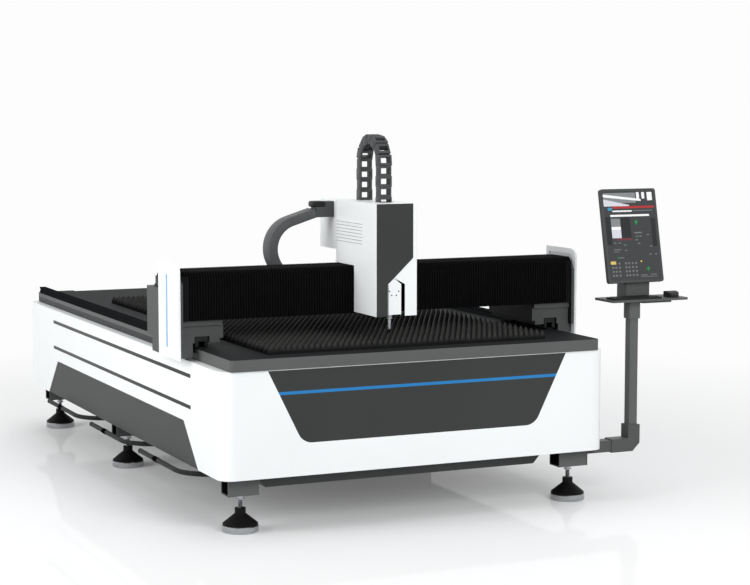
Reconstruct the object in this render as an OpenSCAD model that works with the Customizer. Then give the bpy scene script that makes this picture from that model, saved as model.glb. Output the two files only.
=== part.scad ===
// Open gantry laser cutting machine with one slat table, a travelling head and a console on a post.
// Lengths are in millimetres. Inside the modules X runs to the right from the middle of the bed,
// Y runs back from the front of the casing and Z runs up from the floor.

/* [Bed casing] */
// Width over the white side panels
bed_w = 2080; // [1960:10:2400]
// Length of the casing from front to rear
bed_len = 3534; // [3400:2:4200]
// Height of the casing's lower edge above the floor
skirt_z = 270; // [262:1:320]
// Height of the white casing
casing_h = 517; // [500:1:600]
// Thickness of the casing sheet
sheet_t = 4; // [2:0.5:6]
// Radius of the vertical corners of the casing
corner_r = 70; // [40:5:110]
// Length that the front and rear wraps run along the sides
wrap_len = 300; // [200:10:330]
// Width of the flange folded in along the casing's top
flange_w = 50; // [46:1:60]

/* [Front panel] */
// Distance from the casing's side to the upper corners of the dark front panel
inset_top_in = 232; // [200:1:330]
// Distance from the casing's side to the lower corners of the dark front panel
inset_bottom_in = 411; // [370:1:540]
// Height of the dark front panel
inset_h = 360; // [300:5:420]
// Radius of the lower corners of the dark front panel
inset_r = 80; // [30:5:120]
// Height of the blue stripe
stripe_h = 15; // [8:1:30]
// Distance from the top of the casing to the middle of the blue stripe
stripe_drop = 115; // [60:1:200]

/* [Side panels] */
// Height of a dark trim line
trim_h = 15; // [8:1:24]
// Distances from the top of the casing to the two trim lines
trim_drops = [72, 226];
// Distance from the front to the trim lines
trim_front = 439; // [420:1:600]
// Distance from the rear to the trim lines
trim_rear = 567; // [420:1:700]
// Height of the dark lower skirt
skirt_h = 213; // [150:1:240]
// Distance from the front to the skirt's lower edge
skirt_front = 335; // [335:1:420]
// Distance from the rear to the skirt's lower edge
skirt_rear = 434; // [380:1:500]
// Run of the skirt's slanted ends
skirt_slope = 212; // [100:1:260]

/* [Deck and slats] */
// Thickness of the deck rim
deck_t = 56; // [45:1:70]
// Distance that the deck rim lies in from the casing's sides
deck_inset = 44; // [40:1:48]
// Distance that the deck's front edge stands out in front of the casing
deck_overhang = 10; // [0:1:20]
// Radius of the deck's front corners
deck_corner_r = 20; // [10:5:60]
// Radius of the deck's rear corners
deck_rear_r = 60; // [20:5:90]
// Width of the deck rim beside the slat field
rim_w = 236; // [230:1:300]
// Distance from the front to the slat field
field_front = 110; // [110:1:140]
// Length of the slat field
field_len = 2610; // [2400:10:2640]
// Distance from slat to slat
slat_pitch = 57; // [50:1:90]
// Thickness of a slat
slat_t = 4; // [2:0.5:6]
// Height of a slat from its lower edge to its tips
slat_h = 100; // [80:1:110]
// Height of the slat tips above the deck
tip_rise = 42; // [30:1:50]
// Length of one tooth on a slat
tooth_pitch = 48; // [40:1:80]
// Height of a tooth
tooth_h = 31; // [15:1:40]

/* [Frame] */
// Width of an upper side beam
beam_w = 160; // [120:5:170]
// Height of an upper side beam
beam_h = 160; // [120:5:180]
// Width of a lower side tube
tube_w = 100; // [80:5:120]
// Height of a lower tube
tube_h = 80; // [60:5:100]
// Width of a lower cross tube
cross_w = 110; // [104:1:130]
// Wall of the frame's tubes
tube_wall = 8; // [4:1:12]

/* [Feet] */
// Distance from the casing's side to the middle of a foot
foot_inset = 140; // [130:1:160]
// Distance from the front to the front feet
foot_front = 134; // [120:1:160]
// Distance from the front to the middle feet
foot_middle = 1937; // [1900:1:1980]
// Distance from the rear to the rear feet
foot_rear = 164; // [150:1:220]
// Diameter of a foot's steel disc
disc_d = 176; // [120:2:200]
// Thickness of a foot's steel disc
disc_t = 32; // [20:1:40]
// Diameter of the cone's neck
neck_d = 53; // [40:1:70]
// Diameter of a foot's threaded stud
stud_d = 20; // [16:1:30]
// Width of a nut across its corners
nut_d = 36; // [34:1:60]
// Height of a nut
nut_h = 18; // [14:1:24]
// Length of stud between the cone and the bracket
stud_clear = 64; // [50:1:70]
// Length of a foot's bracket tube
bracket_len = 156; // [130:1:160]
// Width of a foot's bracket tube
bracket_w = 100; // [80:1:102]
// Height of a foot's bracket tube
bracket_h = 80; // [70:1:90]
// Wall of a foot's bracket tube
bracket_wall = 6; // [4:1:10]

/* [Slag drawers] */
// Distance from a lower side tube to the end of a drawer
drawer_inset = 52; // [46:1:100]
// Depth of a drawer
drawer_h = 62; // [50:1:66]
// Run of the slanted drawer ends
drawer_slope = 58; // [30:1:70]
// Sheet of the drawers and their runners
drawer_t = 3; // [2:0.5:4]
// Diameter of a drawer's pull bar
bar_d = 25; // [18:1:26]
// Bend radius of a pull bar
bar_bend = 200; // [120:5:240]
// Length of the straight part of a pull bar
bar_len = 560; // [400:10:600]
// Distance from the casing's side to the pull bar
bar_out = 55; // [40:1:60]
// Distance from a drawer's front edge to the leg of its pull bar
leg_offset = 110; // [60:1:200]

/* [Table drive] */
// Width of a table rail
rail_w = 34; // [28:1:40]
// Height of a table rail
rail_h = 36; // [30:1:40]
// Distance from the deck's side edge to the middle of a table rail
rail_inset = 24; // [22:1:30]
// Distance from the front to the table rails
rail_front = 462; // [440:1:464]
// Tooth size of the racks, as pitch divided by pi
gear_module = 6; // [5:0.5:6.5]
// Teeth of a drive pinion
pinion_teeth = 13; // [12:1:13]
// Height of the racks
rack_h = 34; // [28:1:40]
// Depth of the racks
rack_w = 20; // [18:1:24]
// Length of a bearing block
bearing_len = 110; // [90:1:130]
// Width of a bearing block
bearing_w = 68; // [60:1:72]
// Running clearance between sliding pieces
run_gap = 0.3; // [0.2:0.05:0.5]
// Radial clearance of a shaft in its bore
shaft_gap = 0.05; // [0.02:0.01:0.1]

/* [Gantry] */
// Distance from the front to the gantry's end covers
gantry_y = 402; // [402:1:480]
// Length of an end cover along the table
cover_len = 306; // [280:1:320]
// Height of an end cover
cover_h = 473; // [450:1:500]
// Thickness of an end cover
cover_t = 11; // [9:1:30]
// Radius of an end cover's upper front corner
cover_r = 45; // [10:5:80]
// Distance from the casing's side to the carriage's side plate
plate_out = 40; // [40:1:60]
// Thickness of a carriage's side plate
plate_t = 15; // [8:1:18]
// Width of a carriage block across the machine
carriage_w = 217; // [200:1:224]
// Length of a carriage along the table
carriage_len = 485; // [460:5:500]
// Distance from the gantry's front to the drive pinions
pinion_back = 432; // [424:1:440]
// Height of the drive boxes above the underside of the beam
drive_rise = 134; // [120:1:138]
// Width of a drive motor
motor_w = 88; // [80:1:92]
// Height of a drive motor
motor_h = 66; // [50:1:90]
// Height of the underside of the beam above the deck
beam_rise = 142; // [142:1:180]
// Depth of the gantry beam
gantry_beam_d = 130; // [110:1:134]
// Height of the gantry beam
gantry_beam_h = 205; // [190:1:208]
// Wall of the gantry beam
gantry_wall = 10; // [6:1:16]

/* [Bellows] */
// Depth of the bellows over the beam
bellows_d = 218; // [216:1:240]
// Height of the bellows
bellows_h = 241; // [240:1:270]
// Length of one pleat
pleat_pitch = 20; // [16:1:40]
// Depth of a pleat
pleat_d = 14; // [8:1:15]
// Thickness of the bellows behind a pleat's valley
pleat_wall = 7; // [5:0.5:8]
// Chamfer along the upper front edge of the bellows
bellows_chamfer = 25; // [15:1:40]

/* [Head] */
// Width of the head cover
head_w = 221; // [210:1:260]
// Distance from the middle of the bed to the middle of the head
head_x = -64.5; // [-200:0.5:200]
// Distance that the head cover stands out in front of the bellows
head_front_d = 271; // [268:1:300]
// Distance that the head cover reaches back over the bellows
head_back_d = 231; // [228:1:270]
// Height of the head cover
head_h = 554; // [540:1:600]
// Distance from the bellows' lower edge to the head cover's
head_drop = 8; // [0:1:20]
// Sheet of the head cover
head_t = 3; // [2:0.5:5]
// Radius of the head cover's upright edges
head_r = 6; // [4:1:12]
// Depth of the housing behind the head
housing_d = 228; // [200:1:250]
// Height of the housing behind the head
housing_h = 247; // [220:1:260]
// Number of louvres on each side of the head
louvres = 7; // [3:1:9]
// Distance from louvre to louvre
louvre_pitch = 16.5; // [14:0.5:18]
// Length of a louvre
louvre_len = 322; // [200:1:326]
// Distance from the head cover's top to the uppermost louvre
louvre_drop = 100; // [60:1:130]
// Distance from the louvres' front ends to the bellows' front
louvre_lead = 102; // [96:1:110]
// Height of a louvre's slot
louvre_h = 6; // [3:0.5:8]
// Width of the cutting head
cutter_w = 80; // [70:1:90]
// Depth of the cutting head
cutter_d = 110; // [90:1:120]
// Height of the cutting head
cutter_h = 230; // [210:1:240]
// Width of the vertical slide behind the cutting head
slide_w = 120; // [100:1:130]
// Height of the vertical slide
slide_h = 350; // [300:5:380]
// Height of the nozzle tip above the slat tips
stand_off = 17; // [14:1:30]
// Diameter of the nozzle's upper ring
nozzle_d = 46; // [36:1:60]

/* [Cable chains] */
// Width of the link chain on the head
link_w = 68; // [60:1:80]
// Thickness of the link chain
link_t = 50; // [40:1:56]
// Length of one link
link_pitch = 54.5; // [45:0.5:70]
// Distance between the two legs of the link chain
chain_span = 231; // [200:1:240]
// Height of the chain's arch above the head cover
arch_rise = 333; // [260:1:380]
// Width of the smooth chain behind the beam
band_w = 95; // [70:1:96]
// Thickness of the smooth chain
band_t = 46; // [40:1:56]
// Bend radius at the middle of the smooth chain
band_bend = 146; // [130:1:150]
// Slope of the smooth chain's upper run
band_slope = 17.5; // [10:0.5:24]
// Height of the flange that holds the smooth chain's tray
shelf_flange = 70; // [50:1:100]
// Height of the lip along the tray's rear
shelf_lip = 28; // [15:1:40]

/* [Console] */
// Distance from the bed's side to the middle of the post
post_out = 234; // [230:1:260]
// Distance from the front to the middle of the post
post_y = 130; // [122:1:140]
// Width of the square post
post_w = 50; // [40:1:60]
// Height of the top of the post
post_top = 923; // [850:1:1000]
// Width of the square arm and of the elbow's mouths
arm_w = 60; // [50:1:64]
// Wall of the elbow around the arm and the post
elbow_wall = 5; // [3:1:8]
// Height of the arm's lower face
arm_z = 233; // [225:1:240]
// Width of the collar
collar_w = 68; // [60:1:80]
// Height of the collar
collar_h = 92; // [70:1:120]
// Diameter of the swivel pin in the collar
swivel_d = 36; // [24:1:40]
// Width of the keyboard tray
tray_w = 456; // [430:2:520]
// Depth of the keyboard tray
tray_d = 190; // [180:1:210]
// Thickness of the keyboard tray
tray_t = 12; // [6:1:16]
// Length of the stiffener under the keyboard tray
stiffener_len = 171; // [120:1:220]
// Width of the stiffener under the keyboard tray
stiffener_w = 45; // [30:1:60]
// Width of the keyboard
keyboard_w = 285; // [270:1:300]
// Depth of the keyboard
keyboard_d = 92; // [88:1:96]
// Width of the monitor
monitor_w = 334; // [280:1:380]
// Height of the monitor
monitor_h = 492; // [420:1:560]
// Thickness of the monitor
monitor_t = 35; // [25:1:45]
// Radius of the monitor's corners
monitor_r = 14; // [6:1:30]
// Backward lean of the monitor
monitor_lean = 12; // [5:1:20]
// Width of the monitor's bezel
bezel_w = 14; // [8:1:30]

/* [Exhaust] */
// Outer diameter of the exhaust spigot
spigot_d = 200; // [150:5:250]
// Length of the exhaust spigot
spigot_len = 90; // [60:5:120]
// Wall of the exhaust spigot
spigot_wall = 3; // [2:0.5:5]

/* [Hidden] */
$fn = 48;

// Bed
half_w = bed_w / 2;
casing_top = skirt_z + casing_h;
deck_top = casing_top + deck_t;
deck_half = half_w - deck_inset;
field_half = deck_half - rim_w;
field_rear = field_front + field_len;
beam_out = half_w - flange_w;
beam_in = beam_out - beam_w;
frame_z = skirt_z - 12;
foot_x = half_w - foot_inset;
tube_out = foot_x + tube_w / 2;
tube_in = foot_x - tube_w / 2;
feet_y = [foot_front, foot_middle, bed_len - foot_rear];
cross_pitch = (foot_middle - foot_front) / 2;
cross_y = [for (i = [0:3]) foot_front + i * cross_pitch];
backing = 20;

// Slats
tip_z = deck_top + tip_rise;
slat_z = tip_z - slat_h;
slat_edge = 20;
slat_count = floor((field_len - 2 * slat_edge) / slat_pitch) + 1;
slat_half = field_half - 4;
teeth = floor(2 * slat_half / tooth_pitch);
tooth_run = 2 * slat_half / teeth;
comb_t = 8;
comb_x = slat_half - 16;
comb_top = slat_z + 45;
comb_z = slat_z - 45;

// Feet
bracket_z = frame_z - bracket_h;
stud_top = bracket_z + bracket_wall + nut_h + 3;
cone_top = bracket_z - stud_clear;
stud_z = cone_top - 40;

// Drawers
runner_drop = 18;
runner_lip = 20;
lip_z = frame_z - runner_drop;
drawer_top = lip_z + 2 * drawer_t + run_gap;
drawer_half = tube_in - drawer_inset;
bar_x = half_w + bar_out;
bar_z = frame_z - bar_d / 2 - 1.5;

// Table drive
rail_x = deck_half - rail_inset;
rail_rear = bed_len - 54;
gear_pitch = PI * gear_module;
pinion_r = gear_module * pinion_teeth / 2;
mesh_gap = 0.6;
pinion_x = deck_half - gear_module + pinion_r + mesh_gap;
pinion_y = gantry_y + pinion_back;
pinion_shaft_d = 30;
tooth_angle = 20;
backlash = 1.5;

// Gantry
seat_z = deck_top + beam_rise;
seat_t = 27;
plate_in = half_w + plate_out;
cover_in = plate_in + plate_t;
cover_out = cover_in + cover_t;
cover_y = gantry_y + 11;
cover_z = casing_top + 8;
drive_y = cover_y + cover_len;
drive_top = seat_z + drive_rise;
carriage_in = plate_in - carriage_w;
carriage_y = gantry_y + 53;
carriage_rear = carriage_y + carriage_len;
carriage_z = deck_top + 30;
block_top = deck_top + 62;
gantry_beam_y = gantry_y + 73;
gantry_beam_rear = gantry_beam_y + gantry_beam_d;
x_rail_t = 20;
x_rail_h = 30;
x_rail_z = [seat_z + 45, seat_z + 160];

// Bellows
bellows_y = gantry_y + 23;
bellows_rear = bellows_y + bellows_d;
bellows_top = seat_z + bellows_h;
bellows_in_y = bellows_y + pleat_d + pleat_wall;
bellows_in_rear = bellows_rear - pleat_d - pleat_wall;
bellows_in_top = bellows_top - pleat_d - pleat_wall;
bellows_lip_z = bellows_top - 46;

// Head
head_l = head_x - head_w / 2;
head_r_x = head_x + head_w / 2;
head_y = bellows_y - head_front_d;
head_rear = bellows_y + head_back_d;
head_z = seat_z + head_drop;
head_top = head_z + head_h;
saddle_top = bellows_top + 10;
frame_t = 10;
housing_z = head_top - housing_h - 7;
housing_rear = head_rear + housing_d;
cutter_x = head_x - 14;
cutter_y = head_y + 6;
cutter_z = head_z + 7;
nozzle_y = cutter_y + cutter_d / 2;
nozzle_tip = tip_z + stand_off;
slide_y = cutter_y + cutter_d;
slide_t = 29.6;
axis_y = slide_y + slide_t + 0.4;
axis_top = head_top - 67;
tab_z = head_top - 37;
tab_t = 10;
gate_left = cutter_x - cutter_w / 2 + 6;
gate_right = cutter_x + cutter_w / 2 + 18;
gate_apex_x = cutter_x - 1;
gate_shoulder = head_z + 157;
gate_apex = head_z + 189;

// Cable chains
chain_front_y = axis_y + 16;
chain_rear_y = chain_front_y + chain_span;
chain_x = head_x + 2;
arch_r = chain_span / 2;
arch_z = head_top + arch_rise - link_t / 2 - arch_r;
link_lap = 7;
shelf_t = 3;
shelf_z = seat_z + 140;
shelf_half = pinion_x - motor_w / 2 - 65;
band_y = head_rear + 21;
band_z = shelf_z + shelf_t + 0.5 + band_t / 2;
band_end = head_l - 101;
band_cx = band_end - 86;
band_cz = band_z + band_bend;
band_fixed = shelf_half - 220;
band_tx = band_cx - band_bend * sin(band_slope);
band_tz = band_cz + band_bend * cos(band_slope);
band_end_z = band_tz + (band_end - band_tx) * tan(band_slope);

// Console
post_x = half_w + post_out;
bracket_end = foot_x + bracket_len / 2;
elbow_w = arm_w + 2 * elbow_wall;
elbow_out = post_x + elbow_w / 2;
elbow_z = arm_z - elbow_wall;
elbow_x = post_x - 134;
elbow_top = elbow_z + 139;
tray_z = post_top + collar_h;
tray_x = post_x - 165;
tray_y = post_y - 85;
deck_z = tray_z + tray_t;
stand_w = 141;
stand_x = post_x + 43;
stand_y = tray_y + 100;
stand_d = 90;
stand_h = 83;
monitor_x = post_x + 14;
monitor_y = tray_y + 65;
monitor_z = deck_z + stand_h;
screen_t = 3;

// Frame of reference: the middle of the whole machine's footprint, on the floor
left_reach = max(cover_out, bar_x + bar_d / 2);
right_reach = tray_x + tray_w;
rear_reach = bed_len + spigot_len;
origin_x = (right_reach - left_reach) / 2;
origin_y = (rear_reach - deck_overhang) / 2;

// Colours
white = "#F4F6F7";
deck_grey = "#2C2D2E";
rim_grey = "#606261";
plate_grey = "#4A4A4B";
black = "#121213";
blue = "#2B7FC0";
steel = "#B8BBBD";

// Shared shapes

// Moves a piece from the machine's own coordinates to the frame of reference
module place() {
    translate([-origin_x, -origin_y, 0]) children();
}

// Block between two corners
module block(low, high) {
    translate(low) cube(high - low);
}

// Repeats a right-hand piece on the left
module on_both_sides() {
    children();
    mirror([1, 0, 0]) children();
}

module on_side(left) {
    mirror([left ? 1 : 0, 0, 0]) children();
}

// Rectangle with round corners, centred
module round_rect(w, d, r) {
    square([w, d - 2 * r], center = true);
    square([w - 2 * r, d], center = true);
    for (x = [-1, 1], y = [-1, 1]) {
        translate([x * (w / 2 - r), y * (d / 2 - r)]) circle(r = r);
    }
}

// Outline in X and Z, pulled back along Y from y0 to y1
module along_y(y0, y1) {
    translate([0, y1, 0]) rotate([90, 0, 0]) linear_extrude(y1 - y0) children();
}

// Outline in Y and Z, pulled along X from x0 to x1
module along_x(x0, x1) {
    translate([x0, 0, 0]) rotate([90, 0, 90]) linear_extrude(x1 - x0) children();
}

// Square tube along X
module tube_x(x0, x1, y, z, w, h, wall) {
    difference() {
        block([x0, y - w / 2, z], [x1, y + w / 2, z + h]);
        block([x0 - 1, y - w / 2 + wall, z + wall], [x1 + 1, y + w / 2 - wall, z + h - wall]);
    }
}

// Square tube along Y
module tube_y(y0, y1, x0, x1, z, h, wall) {
    difference() {
        block([x0, y0, z], [x1, y1, z + h]);
        block([x0 + wall, y0 - 1, z + wall], [x1 - wall, y1 + 1, z + h - wall]);
    }
}

// Frame of the bed

// Right side of the bed: upper beam, lower tube and the posts between them
module side_beam() {
    between = [for (i = [0:1]) (feet_y[i] + feet_y[i + 1]) / 2];
    post_y_list = concat(feet_y, between);
    tube_y(flange_w, bed_len - flange_w, beam_in, beam_out, casing_top - beam_h, beam_h, tube_wall);
    tube_y(feet_y[0] - cross_w / 2, feet_y[2] + cross_w / 2, tube_in, tube_out, frame_z, tube_h, tube_wall);
    for (y = post_y_list) {
        block([tube_in, y - tube_w / 2, frame_z + tube_h], [tube_out, y + tube_w / 2, casing_top - beam_h]);
    }
}

module side_beam_left() {
    color(plate_grey) place() on_side(true) side_beam();
}

module side_beam_right() {
    color(plate_grey) place() side_beam();
}

// Angle that carries one edge of a drawer, hung under a cross tube
module runner(y, inward) {
    x0 = -tube_in;
    x1 = drawer_half + 20;
    block([x0, min(y, y - inward * drawer_t), lip_z], [x1, max(y, y - inward * drawer_t), frame_z]);
    block([x0, min(y - inward * drawer_t, y + inward * runner_lip), lip_z],
          [x1, max(y - inward * drawer_t, y + inward * runner_lip), lip_z + drawer_t]);
}

module cross_beams() {
    upper_w = 80;
    front_w = field_front - flange_w - 2;
    rear_y = bed_len - flange_w - upper_w / 2;
    color(plate_grey) place() {
        tube_x(-beam_in, beam_in, flange_w + front_w / 2, casing_top - 100, front_w, 100, tube_wall);
        tube_x(-beam_in, beam_in, field_rear + 4 + upper_w / 2, casing_top - 100, upper_w, 100, tube_wall);
        tube_x(-beam_in, beam_in, rear_y, casing_top - 100, upper_w, 100, tube_wall);
        for (y = [cross_y[1], cross_y[2]]) {
            tube_x(-beam_in, beam_in, y, casing_top - beam_h, upper_w, upper_w, tube_wall);
        }
        for (y = concat(cross_y, [feet_y[2]])) {
            tube_x(-tube_in, tube_in, y, frame_z, cross_w, tube_h, tube_wall);
        }
        for (i = [0:2]) {
            runner(cross_y[i] + cross_w / 2, 1);
            runner(cross_y[i + 1] - cross_w / 2, -1);
        }
    }
}

// Casing

module casing_plan(inset) {
    translate([0, bed_len / 2]) round_rect(bed_w - 2 * inset, bed_len - 2 * inset, corner_r - inset);
}

// Whole casing as a folded sheet: upright wall and a flange at the top
module casing_shell() {
    translate([0, 0, skirt_z]) linear_extrude(casing_h) difference() {
        casing_plan(0);
        casing_plan(sheet_t);
    }
    translate([0, 0, casing_top - sheet_t]) linear_extrude(sheet_t) difference() {
        casing_plan(0);
        translate([0, bed_len / 2]) square([bed_w - 2 * flange_w, bed_len - 2 * flange_w], center = true);
    }
}

// Outline of the dark front panel, wider by a margin
module inset_outline(margin) {
    top = casing_top;
    bottom = casing_top - inset_h - margin;
    half_top = half_w - inset_top_in + margin;
    half_bottom = half_w - inset_bottom_in + margin;
    lean = atan((half_top - half_bottom) / (top - bottom));
    corner = inset_r * tan(45 - lean / 2);
    dx = corner * sin(lean);
    dz = corner * cos(lean);
    difference() {
        polygon([[-half_top, top], [-half_bottom, bottom], [half_bottom, bottom], [half_top, top]]);
        for (s = [-1, 1]) {
            difference() {
                polygon([[s * (half_bottom - corner), bottom - 1], [s * (half_bottom + dx + 1), bottom - 1],
                         [s * (half_bottom + dx + 1), bottom + dz], [s * (half_bottom + dx), bottom + dz],
                         [s * (half_bottom - corner), bottom + inset_r]]);
                translate([s * (half_bottom - corner), bottom + inset_r]) circle(r = inset_r);
            }
        }
    }
}

module casing_front() {
    color(white) place() difference() {
        intersection() {
            casing_shell();
            block([-half_w - 1, -1, 0], [half_w + 1, wrap_len, casing_top + 1]);
        }
        along_y(-1, sheet_t) inset_outline(0);
        block([half_w - 2 * corner_r, post_y - arm_w / 2 - 5, 0],
              [half_w + 1, post_y + arm_w / 2 + 5, arm_z + arm_w + 5]);
    }
}

// Outline of a side's dark skirt in Y and Z, wider by a margin
module skirt_outline(margin) {
    y0 = skirt_front - margin;
    y1 = bed_len - skirt_rear + margin;
    polygon([[y0, skirt_z], [y1, skirt_z], [y1 - skirt_slope, skirt_z + skirt_h + margin],
             [y0 + skirt_slope, skirt_z + skirt_h + margin]]);
}

module casing_side() {
    difference() {
        intersection() {
            casing_shell();
            block([0, wrap_len, 0], [half_w + 1, bed_len - wrap_len, casing_top + 1]);
        }
        along_x(half_w - sheet_t - 1, half_w + 1) {
            translate([0, -1]) skirt_outline(0);
            skirt_outline(0);
            for (drop = trim_drops) {
                translate([trim_front, casing_top - drop - trim_h / 2])
                    square([bed_len - trim_front - trim_rear, trim_h]);
            }
        }
    }
}

module casing_left() {
    color(white) place() on_side(true) casing_side();
}

module casing_right() {
    color(white) place() casing_side();
}

module casing_rear() {
    color(white) place() difference() {
        intersection() {
            casing_shell();
            block([-half_w - 1, bed_len - wrap_len, 0], [half_w + 1, bed_len + 1, casing_top + 1]);
        }
        along_y(bed_len - sheet_t - 1, bed_len + 1)
            translate([0, skirt_z + casing_h / 2]) circle(d = spigot_d - 2 * spigot_wall);
    }
}

module stripe_band() {
    translate([-half_w, casing_top - stripe_drop - stripe_h / 2]) square([bed_w, stripe_h]);
}

module front_inset_panel() {
    color(plate_grey) place() {
        along_y(1, sheet_t) difference() {
            inset_outline(0);
            stripe_band();
        }
        along_y(sheet_t, 2 * sheet_t) difference() {
            inset_outline(backing);
            translate([-half_w, casing_top - sheet_t]) square([bed_w, 2 * sheet_t]);
        }
    }
}

module front_stripe() {
    color(blue) place() along_y(0.5, sheet_t) intersection() {
        inset_outline(0);
        stripe_band();
    }
}

module side_skirts() {
    color("#5C5C5D") place() on_both_sides()
        along_x(half_w - 2 * sheet_t, half_w - sheet_t) skirt_outline(backing);
}

module side_trim() {
    margin = 8;
    color(plate_grey) place() on_both_sides() for (drop = trim_drops) {
        z = casing_top - drop;
        block([half_w - 2 * sheet_t, trim_front - margin, z - trim_h / 2 - margin],
              [half_w - sheet_t, bed_len - trim_rear + margin, z + trim_h / 2 + margin]);
    }
}

// Deck and slats

module deck_front() {
    whole = 4 * deck_corner_r + 2 * field_front;
    color(deck_grey) place() translate([0, 0, casing_top]) linear_extrude(deck_t) intersection() {
        translate([0, whole / 2 - deck_overhang]) round_rect(2 * deck_half, whole, deck_corner_r);
        translate([-half_w, -deck_overhang]) square([bed_w, field_front + deck_overhang]);
    }
}

// Right side rim, with a step along its lower edge for the rack
module deck_side() {
    w = deck_half - field_half;
    len = bed_len - field_front;
    difference() {
        translate([field_half, field_front, casing_top]) linear_extrude(deck_t) {
            square([w, len - deck_rear_r]);
            square([w - deck_rear_r, len]);
            translate([w - deck_rear_r, len - deck_rear_r]) circle(r = deck_rear_r);
        }
        block([deck_half - rack_w, rail_front, casing_top - 1],
              [deck_half + 1, rail_rear, casing_top + rack_h]);
    }
}

module deck_left() {
    color(deck_grey) place() on_side(true) deck_side();
}

module deck_right() {
    color(deck_grey) place() deck_side();
}

module deck_rear() {
    color(rim_grey) place()
        block([-field_half, field_rear, casing_top], [field_half, bed_len, deck_top - 5]);
}

function slat_y(i) = field_front + slat_edge + i * slat_pitch;

module slat_outline() {
    polygon(concat(
        [[slat_half, slat_z], [-slat_half, slat_z]],
        [for (i = [0:teeth]) each [
            [-slat_half + i * tooth_run, tip_z - tooth_h],
            if (i < teeth) [-slat_half + (i + 0.5) * tooth_run, tip_z]
        ]]
    ));
}

module slats() {
    color("#333435") place() for (i = [0:slat_count - 1]) {
        along_y(slat_y(i) - slat_t / 2, slat_y(i) + slat_t / 2) slat_outline();
    }
}

// Upright bar along the table, with a slot for each slat
module comb(z) {
    slot_w = slat_t + 0.6;
    y0 = field_front + 2;
    y1 = field_rear - 2;
    polygon(concat(
        [[y1, z], [y0, z], [y0, comb_top]],
        [for (i = [0:slat_count - 1]) each [
            [slat_y(i) - slot_w / 2, comb_top], [slat_y(i) - slot_w / 2, slat_z],
            [slat_y(i) + slot_w / 2, slat_z], [slat_y(i) + slot_w / 2, comb_top]
        ]],
        [[y1, comb_top]]
    ));
}

module slat_combs() {
    color(plate_grey) place() {
        on_both_sides() {
            along_x(comb_x, comb_x + comb_t) comb(comb_z);
            block([comb_x, field_front + 2, comb_z], [beam_in, field_rear - 2, comb_z + 6]);
        }
        along_x(-comb_t / 2, comb_t / 2) comb(casing_top - beam_h + 80);
    }
}

// Levelling feet

module at_feet() {
    for (x = [-foot_x, foot_x], y = feet_y) {
        translate([x, y, 0]) children();
    }
}

module foot_brackets() {
    color(plate_grey) place() at_feet() difference() {
        tube_x(-bracket_len / 2, bracket_len / 2, 0, bracket_z, bracket_w, bracket_h, bracket_wall);
        translate([0, 0, bracket_z - 1]) cylinder(d = stud_d + 1, h = bracket_wall + 2);
    }
}

module foot_studs() {
    color(steel) place() at_feet() translate([0, 0, stud_z]) cylinder(d = stud_d, h = stud_top - stud_z);
}

module foot_nuts() {
    color(steel) place() at_feet() for (z = [bracket_z - nut_h, bracket_z + bracket_wall]) {
        translate([0, 0, z]) difference() {
            cylinder(d = nut_d, h = nut_h, $fn = 6);
            translate([0, 0, -1]) cylinder(d = stud_d + 0.4, h = nut_h + 2);
        }
    }
}

module foot_cones() {
    rim = disc_d / 2 - 3;
    color(black) place() at_feet() difference() {
        rotate_extrude() polygon([
            [0, disc_t], [rim, disc_t], [rim, disc_t + 8], [neck_d / 2 + 2, cone_top - 28],
            [neck_d / 2, cone_top - 24], [neck_d / 2, cone_top], [0, cone_top]
        ]);
        translate([0, 0, stud_z]) cylinder(d = stud_d + 0.4, h = cone_top - stud_z + 1);
    }
}

module foot_discs() {
    edge = 3;
    r = disc_d / 2;
    color(steel) place() at_feet() rotate_extrude() polygon([
        [0, 0], [r - edge, 0], [r, edge], [r, disc_t - edge], [r - edge, disc_t], [0, disc_t]
    ]);
}

// Table drive

module y_rails() {
    waist = 4;
    z = deck_top;
    half = rail_w / 2;
    half_waist = half - waist;
    color("#55585A") place() on_both_sides() translate([rail_x, 0, 0]) along_y(rail_front, rail_rear) {
        polygon([
            [-half, z], [half, z], [half, z + 0.35 * rail_h], [half_waist, z + 0.5 * rail_h],
            [half_waist, z + 0.6 * rail_h], [half, z + 0.75 * rail_h], [half, z + rail_h],
            [-half, z + rail_h], [-half, z + 0.75 * rail_h], [-half_waist, z + 0.6 * rail_h],
            [-half_waist, z + 0.5 * rail_h], [-half, z + 0.35 * rail_h]
        ]);
    }
}

// Right rack in plan. A gap between two teeth faces the pinion's axis at rest.
module rack_outline() {
    front = floor((pinion_y - rail_front) / gear_pitch);
    rear = floor((rail_rear - pinion_y) / gear_pitch);
    back = deck_half - rack_w;
    root = deck_half - 2.25 * gear_module;
    half_tip = gear_pitch / 4 - gear_module * tan(tooth_angle);
    half_root = gear_pitch / 4 + 1.25 * gear_module * tan(tooth_angle);
    y0 = pinion_y - front * gear_pitch;
    y1 = pinion_y + rear * gear_pitch;
    polygon(concat(
        [[back, y0], [root, y0]],
        [for (i = [-front:rear - 1]) let (c = pinion_y + (i + 0.5) * gear_pitch) each [
            [root, c - half_root], [deck_half, c - half_tip],
            [deck_half, c + half_tip], [root, c + half_root]
        ]],
        [[root, y1], [back, y1]]
    ));
}

module y_racks() {
    color(rim_grey) place() on_both_sides()
        translate([0, 0, casing_top]) linear_extrude(rack_h) rack_outline();
}

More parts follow.
